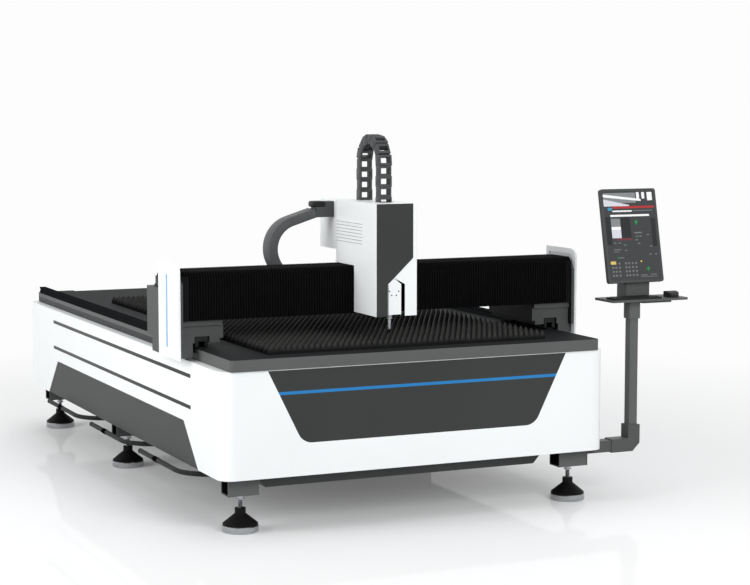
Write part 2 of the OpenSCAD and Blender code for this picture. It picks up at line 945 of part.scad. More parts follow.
// Right pinion with its shaft, one tooth towards the rack
module pinion() {
    root_r = pinion_r - 1.25 * gear_module;
    tip_r = pinion_r + gear_module;
    half_root = gear_pitch / 4 + 1.25 * gear_module * tan(tooth_angle) - backlash - 0.4;
    half_tip = gear_pitch / 4 - gear_module * tan(tooth_angle) - backlash;
    shaft_z = casing_top + rack_h;
    translate([pinion_x, pinion_y, 0]) {
        translate([0, 0, casing_top + 10]) linear_extrude(rack_h - 10) {
            circle(r = root_r);
            for (i = [0:pinion_teeth - 1]) {
                rotate(180 + i * 360 / pinion_teeth) polygon([
                    [root_r - 3, -half_root], [root_r, -half_root], [tip_r, -half_tip],
                    [tip_r, half_tip], [root_r, half_root], [root_r - 3, half_root]
                ]);
            }
        }
        translate([0, 0, shaft_z]) cylinder(d = pinion_shaft_d, h = seat_z - seat_t - shaft_z);
    }
}

module y_pinion_left() {
    color(steel) place() on_side(true) pinion();
}

module y_pinion_right() {
    color(steel) place() pinion();
}

// Exhaust

module exhaust_spigot() {
    ring = 25;
    bore = spigot_d - 2 * spigot_wall;
    color(steel) place() translate([0, bed_len, skirt_z + casing_h / 2]) rotate([-90, 0, 0]) difference() {
        union() {
            cylinder(d = spigot_d + 2 * ring, h = sheet_t);
            cylinder(d = spigot_d, h = spigot_len);
        }
        translate([0, 0, -1]) cylinder(d = bore, h = spigot_len + 2);
    }
}

// Gantry

module gantry_beam() {
    color(plate_grey) place() difference() {
        block([-plate_in, gantry_beam_y, seat_z], [plate_in, gantry_beam_rear, seat_z + gantry_beam_h]);
        block([-plate_in - 1, gantry_beam_y + gantry_wall, seat_z + gantry_wall],
              [plate_in + 1, gantry_beam_rear - gantry_wall, seat_z + gantry_beam_h - gantry_wall]);
    }
}

// Right carriage: block over the rail, leg beside the deck, beam seat, side plate and drive box
module carriage() {
    plate_y = cover_y + 7;
    plate_step = deck_top + 29;
    plate_brow = bellows_top - 20;
    cut_w = bearing_w + 9;
    drive_w = 95;
    leg_rear = pinion_y - pinion_r - gear_module - 10;
    difference() {
        union() {
            block([carriage_in, carriage_y, carriage_z], [plate_in, carriage_rear, seat_z - seat_t]);
            block([deck_half + 24, carriage_y, cover_z + 5], [plate_in, leg_rear, carriage_z + 1]);
            block([carriage_in + 7, carriage_y - 10, seat_z - seat_t], [plate_in, bellows_rear, seat_z]);
            block([plate_in - drive_w, drive_y, seat_z - seat_t], [plate_in, carriage_rear, drive_top]);
        }
        block([rail_x - cut_w / 2, carriage_y - 1, carriage_z - 1],
              [rail_x + cut_w / 2, carriage_rear + 1, block_top]);
        block([carriage_in - 1, carriage_y - 1, carriage_z - 1],
              [carriage_in + 18, carriage_rear + 1, carriage_z + 20]);
        translate([pinion_x, pinion_y, carriage_z - 1])
            cylinder(d = pinion_shaft_d + 2 * shaft_gap, h = seat_z - seat_t - carriage_z + 1);
    }
    along_x(plate_in, cover_in) polygon([
        [plate_y, carriage_z], [carriage_y, carriage_z], [carriage_y, cover_z + 1],
        [carriage_rear - 80, cover_z + 1], [carriage_rear - 80, plate_step], [carriage_rear, plate_step],
        [carriage_rear, drive_top], [drive_y - 4, drive_top], [drive_y - 4, plate_brow],
        [plate_y + 42, plate_brow], [plate_y, plate_brow - 42]
    ]);
}

module carriage_left() {
    color(plate_grey) place() on_side(true) carriage();
}

module carriage_right() {
    color(plate_grey) place() carriage();
}

module y_bearing_blocks() {
    z = deck_top + 7;
    inset = 10;
    rear_y = carriage_rear - inset - bearing_len;
    color("#3A3C3E") place() on_both_sides() for (y = [carriage_y + inset, rear_y]) {
        difference() {
            block([rail_x - bearing_w / 2, y, z], [rail_x + bearing_w / 2, y + bearing_len, block_top]);
            block([rail_x - rail_w / 2 - run_gap, y - 1, z - 1],
                  [rail_x + rail_w / 2 + run_gap, y + bearing_len + 1, deck_top + rail_h + run_gap]);
        }
    }
}

// Outline of an end cover in Y and Z, smaller by a margin
module cover_outline(margin) {
    r = max(cover_r - margin, 1);
    y0 = cover_y + margin;
    y1 = cover_y + cover_len - margin;
    z0 = cover_z + margin;
    z1 = cover_z + cover_h - margin;
    translate([y0, z0]) square([y1 - y0, z1 - r - z0]);
    translate([y0 + r, z0]) square([y1 - y0 - r, z1 - z0]);
    translate([y0 + r, z1 - r]) circle(r = r);
}

// Right end cover: a pan whose folded rim lies on the carriage's side plate
module end_cover() {
    skin = 3;
    rim = 30;
    difference() {
        along_x(cover_in, cover_out) cover_outline(0);
        along_x(cover_in + skin, cover_out - skin) cover_outline(skin);
        along_x(cover_in - 1, cover_in + skin + 1) cover_outline(rim);
        cover_groove();
    }
}

// Groove down an end cover for its blue stripe
module cover_groove() {
    along_x(cover_out - 1, cover_out) cover_stripe_outline();
}

module cover_stripe_outline() {
    stripe_w = 9;
    stripe_y = cover_y + 177;
    translate([stripe_y - stripe_w / 2, cover_z + 53]) square([stripe_w, cover_h - 119]);
}

module end_cover_left() {
    color(white) place() on_side(true) end_cover();
}

module end_cover_right() {
    color(white) place() end_cover();
}

module cover_stripes() {
    color("#4A9ADA") place() on_both_sides() cover_groove();
}

// Servo motors above the drive boxes, with a flange below and a stepped cap
module y_motors() {
    w = motor_w;
    flange_t = 8;
    cap_t = 12;
    cap_z = motor_h - cap_t;
    color(black) place() on_both_sides() translate([pinion_x, pinion_y, drive_top]) {
        linear_extrude(flange_t) round_rect(w + 6, w + 6, 4);
        translate([0, 0, flange_t]) linear_extrude(cap_z - flange_t) round_rect(w, w, 16);
        translate([0, 0, cap_z]) linear_extrude(cap_t) round_rect(w - 14, w - 14, 14);
    }
}

module x_rails() {
    color("#55585A") place() for (z = x_rail_z) {
        block([-plate_in + 20, gantry_beam_y - x_rail_t, z - x_rail_h / 2],
              [plate_in - 20, gantry_beam_y, z + x_rail_h / 2]);
    }
}

// Tray on the back of the beam: upright flange, shelf and a lip
module x_chain_tray() {
    shelf_rear = band_y + band_w + 5;
    color(plate_grey) place() along_x(-shelf_half, shelf_half) {
        translate([gantry_beam_rear, shelf_z - shelf_flange]) square([shelf_t, shelf_flange + shelf_t]);
        translate([gantry_beam_rear, shelf_z]) square([shelf_rear - gantry_beam_rear, shelf_t]);
        translate([shelf_rear - shelf_t, shelf_z]) square([shelf_t, shelf_lip]);
    }
}

// Zig-zag line from x0 to x1 between a peak and a valley
function zigzag(x0, x1, pleats, peak, valley) = [
    for (i = [0:2 * pleats]) [x0 + i * (x1 - x0) / (2 * pleats), i % 2 == 0 ? peak : valley]
];

function backwards(list) = [for (i = [len(list) - 1:-1:0]) list[i]];

// Pleated cover over the front, top and back edge of the beam, from x0 to x1
module bellows(x0, x1) {
    pleats = round((x1 - x0) / pleat_pitch);
    chamfer_peak = (bellows_top - bellows_y - bellows_chamfer) / sqrt(2);
    difference() {
        intersection() {
            translate([0, 0, seat_z]) linear_extrude(bellows_h) polygon(concat(
                zigzag(x0, x1, pleats, bellows_y, bellows_y + pleat_d),
                backwards(zigzag(x0, x1, pleats, bellows_rear, bellows_rear - pleat_d))
            ));
            along_y(bellows_y - 1, bellows_rear + 1) polygon(concat(
                [[x1, seat_z - 1], [x0, seat_z - 1]],
                zigzag(x0, x1, pleats, bellows_top, bellows_top - pleat_d)
            ));
            rotate([135, 0, 0]) linear_extrude(4 * half_w, center = true) polygon(concat(
                [[x1, 0], [x0, 0]],
                zigzag(x0, x1, pleats, chamfer_peak, chamfer_peak - pleat_d)
            ));
        }
        block([x0 - 1, bellows_in_y, seat_z - 1], [x1 + 1, bellows_in_rear, bellows_in_top]);
        block([x0 - 1, bellows_in_rear - 1, seat_z - 1], [x1 + 1, bellows_rear + 1, bellows_lip_z]);
    }
}

module bellows_left() {
    color(black) place() bellows(-plate_in, head_l);
}

module bellows_right() {
    color(black) place() bellows(head_r_x, plate_in);
}

// Head

// Frame that ends a bellows at the head, as an outline in Y and Z
module saddle_arch() {
    translate([bellows_y, seat_z]) square([bellows_in_y - bellows_y, bellows_h]);
    translate([bellows_y, bellows_in_top]) square([bellows_d, bellows_top - bellows_in_top]);
    translate([bellows_in_rear, bellows_lip_z])
        square([bellows_rear - bellows_in_rear, bellows_top - bellows_lip_z]);
}

// Saddle that rides the beam: two end frames, front plate, top plate and four bearing blocks
module head_saddle() {
    front_t = 16;
    block_len = 80;
    block_h = 70;
    block_rear = gantry_beam_y - 3;
    color(plate_grey) place() {
        along_x(head_l, head_l + frame_t) saddle_arch();
        along_x(head_r_x - frame_t, head_r_x) saddle_arch();
        block([head_l + frame_t, bellows_y, head_z + 7],
              [head_r_x - frame_t, bellows_y + front_t, bellows_top]);
        block([head_l, bellows_y, bellows_top], [head_r_x, head_rear, saddle_top]);
        for (x = [head_l + frame_t, head_r_x - frame_t - block_len], z = x_rail_z) {
            difference() {
                block([x, bellows_y + front_t, z - block_h / 2],
                      [x + block_len, block_rear, z + block_h / 2]);
                block([x - 1, gantry_beam_y - x_rail_t - run_gap, z - x_rail_h / 2 - run_gap],
                      [x + block_len + 1, block_rear + 1, z + x_rail_h / 2 + run_gap]);
            }
        }
    }
}

// Outline of the head cover in Y and Z, smaller by a margin
module head_profile(margin, foot) {
    translate([head_y + margin, head_z - foot])
        square([bellows_y - head_y - margin + foot, head_top - head_z + foot - margin]);
    translate([bellows_y - 1, saddle_top - foot])
        square([head_rear - bellows_y + 1 - margin, head_top - saddle_top + foot - margin]);
}

// Opening in the front of the head cover, with a pointed top
module gate_outline() {
    polygon([[gate_left, head_z - 1], [gate_right, head_z - 1], [gate_right, gate_shoulder],
             [gate_apex_x, gate_apex], [gate_left, gate_shoulder]]);
}

module head_cover() {
    plan_d = head_rear - head_y;
    louvre_z = head_top - louvre_drop;
    louvre_y = bellows_y - louvre_lead;
    color(white) place() difference() {
        intersection() {
            along_x(head_l, head_r_x) head_profile(0, 0);
            translate([head_x, head_y + plan_d / 2, head_z]) linear_extrude(head_h)
                round_rect(head_w, plan_d, head_r);
        }
        along_x(head_l + head_t, head_r_x - head_t) head_profile(head_t, 1);
        along_y(head_y - 1, head_y + head_t + 1) gate_outline();
        for (i = [0:louvres - 1]) {
            z = louvre_z - i * louvre_pitch;
            block([head_l - 1, louvre_y, z - louvre_h], [head_r_x + 1, louvre_y + louvre_len, z]);
        }
        block([chain_x - link_w / 2 - 6, slide_y - 8, head_top - head_t - 1],
              [chain_x + link_w / 2 + 6, chain_front_y + link_t / 2 + 10, head_top + 1]);
    }
}

module head_front_panel() {
    panel_t = 2;
    right = head_r_x - 23;
    bend_z = head_top - 269;
    foot_x_right = gate_left - 2;
    color("#3F4040") place() along_y(head_y - panel_t, head_y) polygon([
        [head_l + 1, head_top - 1], [right, head_top - 1], [right, bend_z], [gate_apex_x, gate_apex],
        [foot_x_right, gate_shoulder], [foot_x_right, head_z], [head_l + 1, head_z]
    ]);
}

// Housing behind the head, open towards the head cover
module rear_housing() {
    wall = 3;
    r = 30;
    w = head_w;
    color(white) place() translate([head_x, 0, housing_z]) difference() {
        linear_extrude(housing_h) intersection() {
            translate([0, housing_rear - housing_d]) round_rect(w, 2 * housing_d, r);
            translate([-w / 2, head_rear]) square([w, housing_d]);
        }
        translate([0, 0, wall]) linear_extrude(housing_h - 2 * wall) intersection() {
            translate([0, housing_rear - housing_d])
                round_rect(w - 2 * wall, 2 * housing_d - 2 * wall, r - wall);
            translate([-w / 2, head_rear - 1]) square([w, housing_d + 1]);
        }
    }
}

// Clamp block that holds the moving end of the smooth chain
module chain_block() {
    bottom = band_end_z - band_t / 2 + 1;
    top = band_end_z + band_t / 2 + 35;
    color(plate_grey) place() difference() {
        block([band_end, band_y, bottom], [head_l, band_y + band_w - 30, top]);
        for (z = [bottom, top]) {
            translate([band_end, band_y, z]) rotate([0, 45, 0]) cube([10, 3 * band_w, 10], center = true);
        }
    }
}

// Smooth chain: sloping upper run, bend and a lower run on the tray
module x_cable_chain() {
    reach = 2 * band_bend;
    run = (band_end - band_tx) / cos(band_slope) + band_t;
    color(plate_grey) place() difference() {
        along_y(band_y, band_y + band_w) {
            intersection() {
                translate([band_cx, band_cz]) difference() {
                    circle(r = band_bend + band_t / 2, $fn = 96);
                    circle(r = band_bend - band_t / 2, $fn = 96);
                }
                translate([band_cx, band_cz]) polygon([
                    [0, 0], [-reach * sin(band_slope), reach * cos(band_slope)],
                    [-reach, reach], [-reach, -reach], [0, -reach]
                ]);
            }
            translate([band_tx, band_tz]) rotate(band_slope)
                translate([0, -band_t / 2]) square([run, band_t]);
            translate([band_cx, band_z - band_t / 2]) square([band_fixed - band_cx, band_t]);
        }
        block([band_end, band_y - 1, band_cz], [band_end + run, band_y + band_w + 1, head_top + reach]);
    }
}

// One link: two cheeks and two cross bars round an open middle. Every second link is slimmer,
// so that its ends lie inside its neighbours'.
module link(len, slim) {
    cheek = 5.5;
    bar = 8;
    w = slim ? link_w - 4 : link_w;
    t = slim ? link_t - 5 : link_t;
    difference() {
        cube([w, t, len], center = true);
        cube([w - 2 * cheek, t - 2 * bar, len + 2], center = true);
        cube([w - 2 * cheek, link_t + 2, len - 35], center = true);
    }
}

module chain_leg(y, z0) {
    count = round((arch_z - z0) / link_pitch);
    step = (arch_z - z0) / count;
    for (i = [0:count - 1]) {
        len = step + link_lap;
        translate([chain_x, y, z0 + i * step + len / 2]) link(len, (count - i) % 2 == 0);
    }
}

// Loop of links over the head: front leg on the slide, arch, rear leg on the cover
module z_cable_chain() {
    arch_links = 2 * round(PI * arch_r / link_pitch / 2) + 1;
    turn = 180 / arch_links;
    link_len = 2 * arch_r * tan(turn / 2) + link_lap;
    color(plate_grey) place() {
        chain_leg(chain_front_y, tab_z + tab_t);
        chain_leg(chain_rear_y, head_top);
        for (i = [0:arch_links - 1]) {
            translate([chain_x, chain_front_y + arch_r, arch_z]) rotate([-(i + 0.5) * turn, 0, 0])
                translate([0, -arch_r, 0]) link(link_len, i % 2 == 0);
        }
    }
}

module z_axis_unit() {
    w = slide_w + 30;
    color(steel) place()
        block([cutter_x - w / 2, axis_y, head_z + 27], [cutter_x + w / 2, bellows_y, axis_top]);
}

// Slide with a tongue that carries the moving end of the link chain
module z_slide() {
    tongue_w = link_w - 6;
    low = cutter_z + 10;
    high = low + slide_h;
    color(steel) place() {
        block([cutter_x - slide_w / 2, slide_y, low], [cutter_x + slide_w / 2, slide_y + slide_t, high]);
        block([chain_x - tongue_w / 2, slide_y, high],
              [chain_x + tongue_w / 2, slide_y + 12, tab_z + tab_t]);
        block([chain_x - tongue_w / 2, slide_y, tab_z],
              [chain_x + tongue_w / 2, chain_front_y + link_t / 2, tab_z + tab_t]);
    }
}

// Cutting head: a cover whose right shoulder is slanted like the opening in front of it, and the body
module cutting_head() {
    left = cutter_x - cutter_w / 2;
    right = cutter_x + cutter_w / 2;
    cover_d = 40;
    color(white) place() {
        along_y(cutter_y, cutter_y + cover_d) polygon([
            [left, cutter_z], [right, cutter_z], [right, gate_shoulder],
            [gate_apex_x, gate_apex], [left, gate_apex]
        ]);
        translate([cutter_x, slide_y - (cutter_d - cover_d) / 2, cutter_z]) linear_extrude(cutter_h)
            square([cutter_w - 6, cutter_d - cover_d], center = true);
    }
}

module nozzle() {
    h = cutter_z - nozzle_tip;
    r = nozzle_d / 2;
    tip_r = 4;
    bore_r = 1.5;
    color(steel) place() translate([cutter_x, nozzle_y, nozzle_tip]) rotate_extrude() polygon([
        [bore_r, 0], [tip_r, 0], [tip_r + 5, 9], [tip_r + 5, 16], [0.5 * r, 24], [0.55 * r, 0.55 * h],
        [0.75 * r, 0.6 * h], [0.75 * r, 0.85 * h], [r, 0.88 * h], [r, h], [bore_r, h]
    ]);
}

// Console

// Arm from the foot's bracket, with a plate over the bracket's end
module console_arm() {
    plate = 10;
    color(rim_grey) place() {
        block([bracket_end, foot_front - bracket_w / 2, bracket_z],
              [bracket_end + plate, foot_front + bracket_w / 2, arm_z + arm_w + 4]);
        tube_x(bracket_end + plate, elbow_x, post_y, arm_z, arm_w, arm_w, 4);
    }
}

module console_elbow() {
    chamfer = 42;
    color(rim_grey) place() along_y(post_y - elbow_w / 2, post_y + elbow_w / 2) polygon([
        [elbow_x, elbow_z], [elbow_out - chamfer, elbow_z], [elbow_out, elbow_z + chamfer],
        [elbow_out, elbow_top], [elbow_out - elbow_w, elbow_top],
        [elbow_out - elbow_w, elbow_z + elbow_w], [elbow_x, elbow_z + elbow_w]
    ]);
}

// Post with the swivel pin on its top
module console_post() {
    color(rim_grey) place() translate([post_x, post_y, 0]) {
        translate([0, 0, elbow_top]) linear_extrude(post_top - elbow_top) round_rect(post_w, post_w, 5);
        translate([0, 0, post_top]) cylinder(d = swivel_d, h = collar_h - 20);
    }
}

module console_collar() {
    color(plate_grey) place() translate([post_x, post_y, post_top]) difference() {
        linear_extrude(collar_h) round_rect(collar_w, collar_w, 12);
        translate([0, 0, -1]) cylinder(d = swivel_d + 2 * shaft_gap, h = collar_h - 18);
    }
}

// Tray plate with a shallow stiffener below and the stand behind the keyboard
module keyboard_tray() {
    color("#353638") place() {
        translate([tray_x + tray_w / 2, tray_y + tray_d / 2, tray_z]) linear_extrude(tray_t)
            round_rect(tray_w, tray_d, 10);
        translate([post_x + collar_w / 2, tray_y + 30, tray_z - tray_t])
            cube([stiffener_len, stiffener_w, tray_t]);
        block([stand_x - stand_w / 2, stand_y, deck_z],
              [stand_x + stand_w / 2, stand_y + stand_d, deck_z + stand_h]);
        leaning() translate([-50, monitor_t, 0]) cube([100, 24, 150]);
    }
}

// Puts a piece on the monitor's plane: X across, Y into the monitor and Z up its front
module leaning() {
    translate([monitor_x, monitor_y, monitor_z]) rotate([-monitor_lean, 0, 0]) children();
}

// Keyboard and mouse, with the keys on the keyboard's top
module keyboard() {
    w = keyboard_w;
    d = keyboard_d;
    h = 10;
    key = 15;
    key_pitch = 18.5;
    x = tray_x + 14;
    y = tray_y + 5;
    mouse_x = tray_x + tray_w - 75;
    color(black) place() {
        translate([x + w / 2, y + d / 2, deck_z]) linear_extrude(h) round_rect(w, d, 5);
        for (column = [0:13], row = [0:3]) {
            translate([x + 14 + column * key_pitch, y + 11 + row * key_pitch, deck_z + h])
                cube([key, key, 3]);
        }
        intersection() {
            translate([mouse_x, y + 46, deck_z]) linear_extrude(40) round_rect(62, 88, 26);
            translate([mouse_x, y + 52, deck_z - 46]) rotate([0, 90, 0])
                cylinder(r = 78, h = 100, center = true);
        }
    }
}

// Monitor: shell with a domed back, glass let into its front
module monitor() {
    glass_w = monitor_w - 2 * bezel_w;
    glass_h = monitor_h - 2 * bezel_w;
    color("#3C3D3F") place() leaning() {
        translate([0, 0, monitor_h / 2]) rotate([-90, 0, 0]) difference() {
            union() {
                linear_extrude(monitor_t - 12) round_rect(monitor_w, monitor_h, monitor_r);
                translate([0, 0, monitor_t - 12]) linear_extrude(12)
                    round_rect(monitor_w - 40, monitor_h - 40, monitor_r);
            }
            translate([0, 0, -1]) linear_extrude(screen_t + 1) round_rect(glass_w, glass_h, 4);
        }
    }
    color(black) place() leaning() translate([0, 1, monitor_h / 2]) rotate([-90, 0, 0])
        linear_extrude(screen_t - 1) round_rect(glass_w, glass_h, 4);
}

// Slag drawers

// Sheet tray on its runners, with a bent pull bar at the left
module slag_drawer(i) {
    flange_y0 = cross_y[i] + cross_w / 2 + 3;
    flange_y1 = cross_y[i + 1] - cross_w / 2 - 3;
    y0 = flange_y0 + runner_lip;
    y1 = flange_y1 - runner_lip;
    flange_z = drawer_top - drawer_t;
    bottom = drawer_top - drawer_h;
    foot = drawer_half - drawer_slope;
    leg_y = y0 + leg_offset;
    bend_x = bar_x - bar_bend;
    plate_x = drawer_half + 6;
    weld = 4;
    difference() {
        union() {
            along_y(y0, y1) polygon([
                [-drawer_half, drawer_top], [-foot, bottom], [foot, bottom], [drawer_half, drawer_top]
            ]);
            block([-drawer_half, flange_y0, flange_z], [drawer_half, flange_y1, drawer_top]);
        }
        along_y(y0 + drawer_t, y1 - drawer_t) polygon([
            [-drawer_half + 1.2 * drawer_t, drawer_top], [-foot + 0.8 * drawer_t, bottom + drawer_t],
            [foot - 0.8 * drawer_t, bottom + drawer_t], [drawer_half - 1.2 * drawer_t, drawer_top],
            [drawer_half - 1.2 * drawer_t, drawer_top + 1], [-drawer_half + 1.2 * drawer_t, drawer_top + 1]
        ]);
    }
    along_y(leg_y - 25, leg_y + 25) polygon([
        [-plate_x, drawer_top], [-plate_x, bottom + 20],
        [-foot - 20 * drawer_slope / drawer_h, bottom + 20], [-drawer_half, drawer_top]
    ]);
    translate([-bend_x, leg_y, bar_z]) rotate([0, 90, 0]) cylinder(d = bar_d, h = bend_x - plate_x + weld);
    translate([-bend_x, leg_y + bar_bend, bar_z]) rotate(180) rotate_extrude(angle = 90)
        translate([bar_bend, 0]) circle(d = bar_d);
    translate([-bar_x, leg_y + bar_bend, bar_z]) rotate([-90, 0, 0]) cylinder(d = bar_d, h = bar_len);
    translate([-bend_x - weld, leg_y, bar_z]) rotate([0, 90, 0]) cylinder(d = bar_d - 2, h = 2 * weld);
    translate([-bar_x, leg_y + bar_bend - weld, bar_z]) rotate([-90, 0, 0])
        cylinder(d = bar_d - 2, h = 2 * weld);
}

module slag_drawer_1() {
    color(plate_grey) place() slag_drawer(0);
}

module slag_drawer_2() {
    color(plate_grey) place() slag_drawer(1);
}

module slag_drawer_3() {
    color(plate_grey) place() slag_drawer(2);
}

side_beam_left();
side_beam_right();
cross_beams();
casing_front();
casing_left();
casing_right();
casing_rear();
front_inset_panel();
front_stripe();
side_skirts();
side_trim();
deck_front();
deck_left();
deck_right();
deck_rear();
slat_combs();
slats();
foot_brackets();
foot_studs();
foot_nuts();
foot_cones();
foot_discs();
y_rails();
y_racks();
exhaust_spigot();
console_arm();
console_elbow();
console_post();
gantry_beam();
carriage_left();
carriage_right();
y_bearing_blocks();
end_cover_left();
end_cover_right();
cover_stripes();
y_motors();
x_rails();
x_chain_tray();
bellows_left();
bellows_right();
y_pinion_left();
y_pinion_right();
head_saddle();
head_cover();
head_front_panel();
rear_housing();
chain_block();
x_cable_chain();
z_axis_unit();
z_cable_chain();
z_slide();
cutting_head();
nozzle();
console_collar();
keyboard_tray();
keyboard();
monitor();
slag_drawer_1();
slag_drawer_2();
slag_drawer_3();
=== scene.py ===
# %% [markdown]
# # Dressing a gantry laser cutter
# The machine is a long white bed with a field of saw-tooth slats, a gantry behind black bellows,
# a head with a loop of cable chain and a console on a post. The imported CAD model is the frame:
# it already has every rigid piece at its true size. This lesson adds the camera, the light,
# the finishes and the pieces that CAD can only hint at, such as pleated cloth and chain links.

# %% Load the frame
import math

import bpy
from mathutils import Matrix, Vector


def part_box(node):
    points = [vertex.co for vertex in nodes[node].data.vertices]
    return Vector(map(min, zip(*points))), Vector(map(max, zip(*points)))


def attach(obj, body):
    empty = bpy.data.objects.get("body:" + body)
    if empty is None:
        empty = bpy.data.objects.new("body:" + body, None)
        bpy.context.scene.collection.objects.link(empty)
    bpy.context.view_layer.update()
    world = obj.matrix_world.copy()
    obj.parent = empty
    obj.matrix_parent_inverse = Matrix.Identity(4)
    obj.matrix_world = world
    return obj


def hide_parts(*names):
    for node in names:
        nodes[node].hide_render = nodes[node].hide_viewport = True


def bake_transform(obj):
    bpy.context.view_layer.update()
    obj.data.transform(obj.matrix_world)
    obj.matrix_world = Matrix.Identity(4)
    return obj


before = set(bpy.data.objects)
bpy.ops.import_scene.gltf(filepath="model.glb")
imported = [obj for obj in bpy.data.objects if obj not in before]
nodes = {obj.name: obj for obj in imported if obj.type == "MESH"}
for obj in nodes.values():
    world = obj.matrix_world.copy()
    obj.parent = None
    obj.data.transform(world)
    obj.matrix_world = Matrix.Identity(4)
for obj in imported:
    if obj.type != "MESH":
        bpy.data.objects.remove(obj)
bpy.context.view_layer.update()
print("CAD nodes:", len(nodes))

# %% [markdown]
# The machine's own sizes are easiest to read in millimetres from the middle of the bed's front
# edge on the floor: X to the right, Y to the back, Z up. The casing tells where that point lies
# in the frame, so one small function turns such a place into metres in the frame.

# %% Places in machine millimetres
MM = 0.001
casing_low, casing_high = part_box("casing_front")
BED_MIDDLE = (casing_low.x + casing_high.x) / 2
BED_FRONT = casing_low.y


def at(x, y, z):
    """A place in machine millimetres as a point in the frame, in metres."""
    return Vector((BED_MIDDLE + x * MM, BED_FRONT + y * MM, z * MM))


print("bed middle and front in the frame:", round(BED_MIDDLE, 5), round(BED_FRONT, 5))

# %% [markdown]
# The camera stands to the left of the front and looks slightly down. Its place and its long lens
# were worked out from the straight edges of the bed, so the render can be laid over the picture.

# %% Camera
CAMERA_YAW = math.radians(24.464)
CAMERA_PITCH = math.radians(5.758)
look = Vector((
    math.sin(CAMERA_YAW) * math.cos(CAMERA_PITCH),
    math.cos(CAMERA_YAW) * math.cos(CAMERA_PITCH),
    -math.sin(CAMERA_PITCH),
))
camera_data = bpy.data.cameras.new("camera")
camera_data.sensor_width = 36.0
camera_data.lens = 92.165
camera_data.clip_end = 200
camera = bpy.data.objects.new("camera", camera_data)
camera.location = at(-4051.6, -8349.2, 2056.7)
camera.rotation_euler = look.to_track_quat("-Z", "Y").to_euler()
bpy.context.scene.collection.objects.link(camera)
bpy.context.scene.camera = camera
bpy.context.scene.view_settings.view_transform = "Standard"
print("camera lens in millimetres:", camera_data.lens)

# %% [markdown]
# Every finish is a small node tree. Colours are written as sRGB hex values, as a paint chart gives
# them, and one function turns them to the linear values that the shader wants. One more function
# adds a node with its settings and links. Noise seldom leaves the middle of its range, so that part
# is stretched wherever noise drives a colour or a roughness.

# %% Material helpers
NOISE = {"From Min": 0.3, "From Max": 0.7}
MIX_A, MIX_B, MIX_OUT = 6, 7, 2  # the Mix node's colour sockets


def lin(code):
    """Linear RGBA of an sRGB hex value such as #F4F6F7."""
    parts = [int(code[i:i + 2], 16) / 255 for i in (1, 3, 5)]
    return [c / 12.92 if c <= 0.04045 else ((c + 0.055) / 1.055) ** 2.4 for c in parts] + [1.0]


def add(tree, kind, inputs=None, **settings):
    """One node with its settings. An input gets a value, or a link where it is given a socket."""
    made = tree.nodes.new("ShaderNode" + kind)
    for name, value in settings.items():
        setattr(made, name, value)
    for name, value in (inputs or {}).items():
        if isinstance(value, bpy.types.NodeSocket):
            tree.links.new(value, made.inputs[name])
        else:
            made.inputs[name].default_value = value
    return made


def new_finish(name):
    """An empty material, its tree and the place where patterns are read."""
    made = bpy.data.materials.new(name)
    made.use_nodes = True
    made.node_tree.nodes.clear()
    print("finish:", name)
    coordinates = add(made.node_tree, "TexCoord").outputs["Object"]
    return made, made.node_tree, coordinates


def tone(tree, noise, deep, pale):
    """A colour that noise moves between two hex values."""
    share = add(tree, "MapRange", {"Value": noise, **NOISE}).outputs["Result"]
    mix = add(tree, "Mix", {"Factor": share, MIX_A: lin(deep), MIX_B: lin(pale)}, data_type="RGBA")
    return mix.outputs[MIX_OUT]


def close(tree, colour, stir=None, **shader):
    """The end of a tree. Stir is a noise with the roughness at its low and its high end.
    Underscores stand for spaces in the shader's input names."""
    inputs = {name.replace("_", " "): value for name, value in shader.items()}
    if stir:
        noise, low, high = stir
        sheen = add(tree, "MapRange", {"Value": noise, **NOISE, "To Min": low, "To Max": high})
        inputs["Roughness"] = sheen.outputs["Result"]
    principled = add(tree, "BsdfPrincipled", {"Base Color": colour, **inputs})
    add(tree, "OutputMaterial", {"Surface": principled.outputs["BSDF"]})


# %% [markdown]
# Powder coat is sprayed dry and baked. It leaves a skin with a faint orange peel of about three
# millimetres, and an even satin gloss. The peel is too fine to show at this distance, so it is
# drawn at six millimetres. A slow, very weak drift of tone keeps large panels from looking flat.
# The rails' plating and the matt black are as even, but have no gloss. The matt black dresses the
# pull bars' sleeves, and is painted shade inside the head, at the gate and in the open tube ends.

# %% Powder-coated sheet
SLOW_DRIFT = {"Scale": 1.6, "Detail": 2.0}


def powder_coat(name, pale, deep, roughness, gloss=0.3):
    made, tree, place = new_finish(name)
    drift = add(tree, "TexNoise", {"Vector": place, **SLOW_DRIFT}).outputs["Fac"]
    grain = add(tree, "TexNoise", {"Vector": place, "Scale": 170.0, "Detail": 3.0}).outputs["Fac"]
    bump = add(tree, "Bump", {"Height": grain, "Strength": 0.05, "Distance": 0.0006})
    close(
        tree, tone(tree, drift, deep, pale), (grain, roughness - 0.04, roughness + 0.05),
        Specular_IOR_Level=gloss, Normal=bump.outputs["Normal"],
    )
    return made


white_coat = powder_coat("white_powder_coat", "#F7FAFB", "#F4F7F8", 0.36)
graphite_coat = powder_coat("graphite_powder_coat", "#3C3E3D", "#383A39", 0.45, 0.15)
skirt_coat = powder_coat("grey_skirt_powder_coat", "#454646", "#404141", 0.5, 0.15)
frame_coat = powder_coat("frame_powder_coat", "#555757", "#4F5151", 0.5, 0.15)
post_coat = powder_coat("post_powder_coat", "#626564", "#5D605F", 0.45, 0.2)
elbow_coat = powder_coat("elbow_powder_coat", "#565857", "#515352", 0.45, 0.2)
tray_coat = powder_coat("console_powder_coat", "#5A5B5B", "#555656", 0.48, 0.2)
blue_coat = powder_coat("blue_powder_coat", "#2D80C0", "#2A7BBA", 0.4, 0.2)
pale_blue_coat = powder_coat("light_blue_powder_coat", "#86B9E2", "#80B4DF", 0.4, 0.2)
black_coat = powder_coat("black_powder_coat", "#141516", "#101112", 0.45, 0.2)
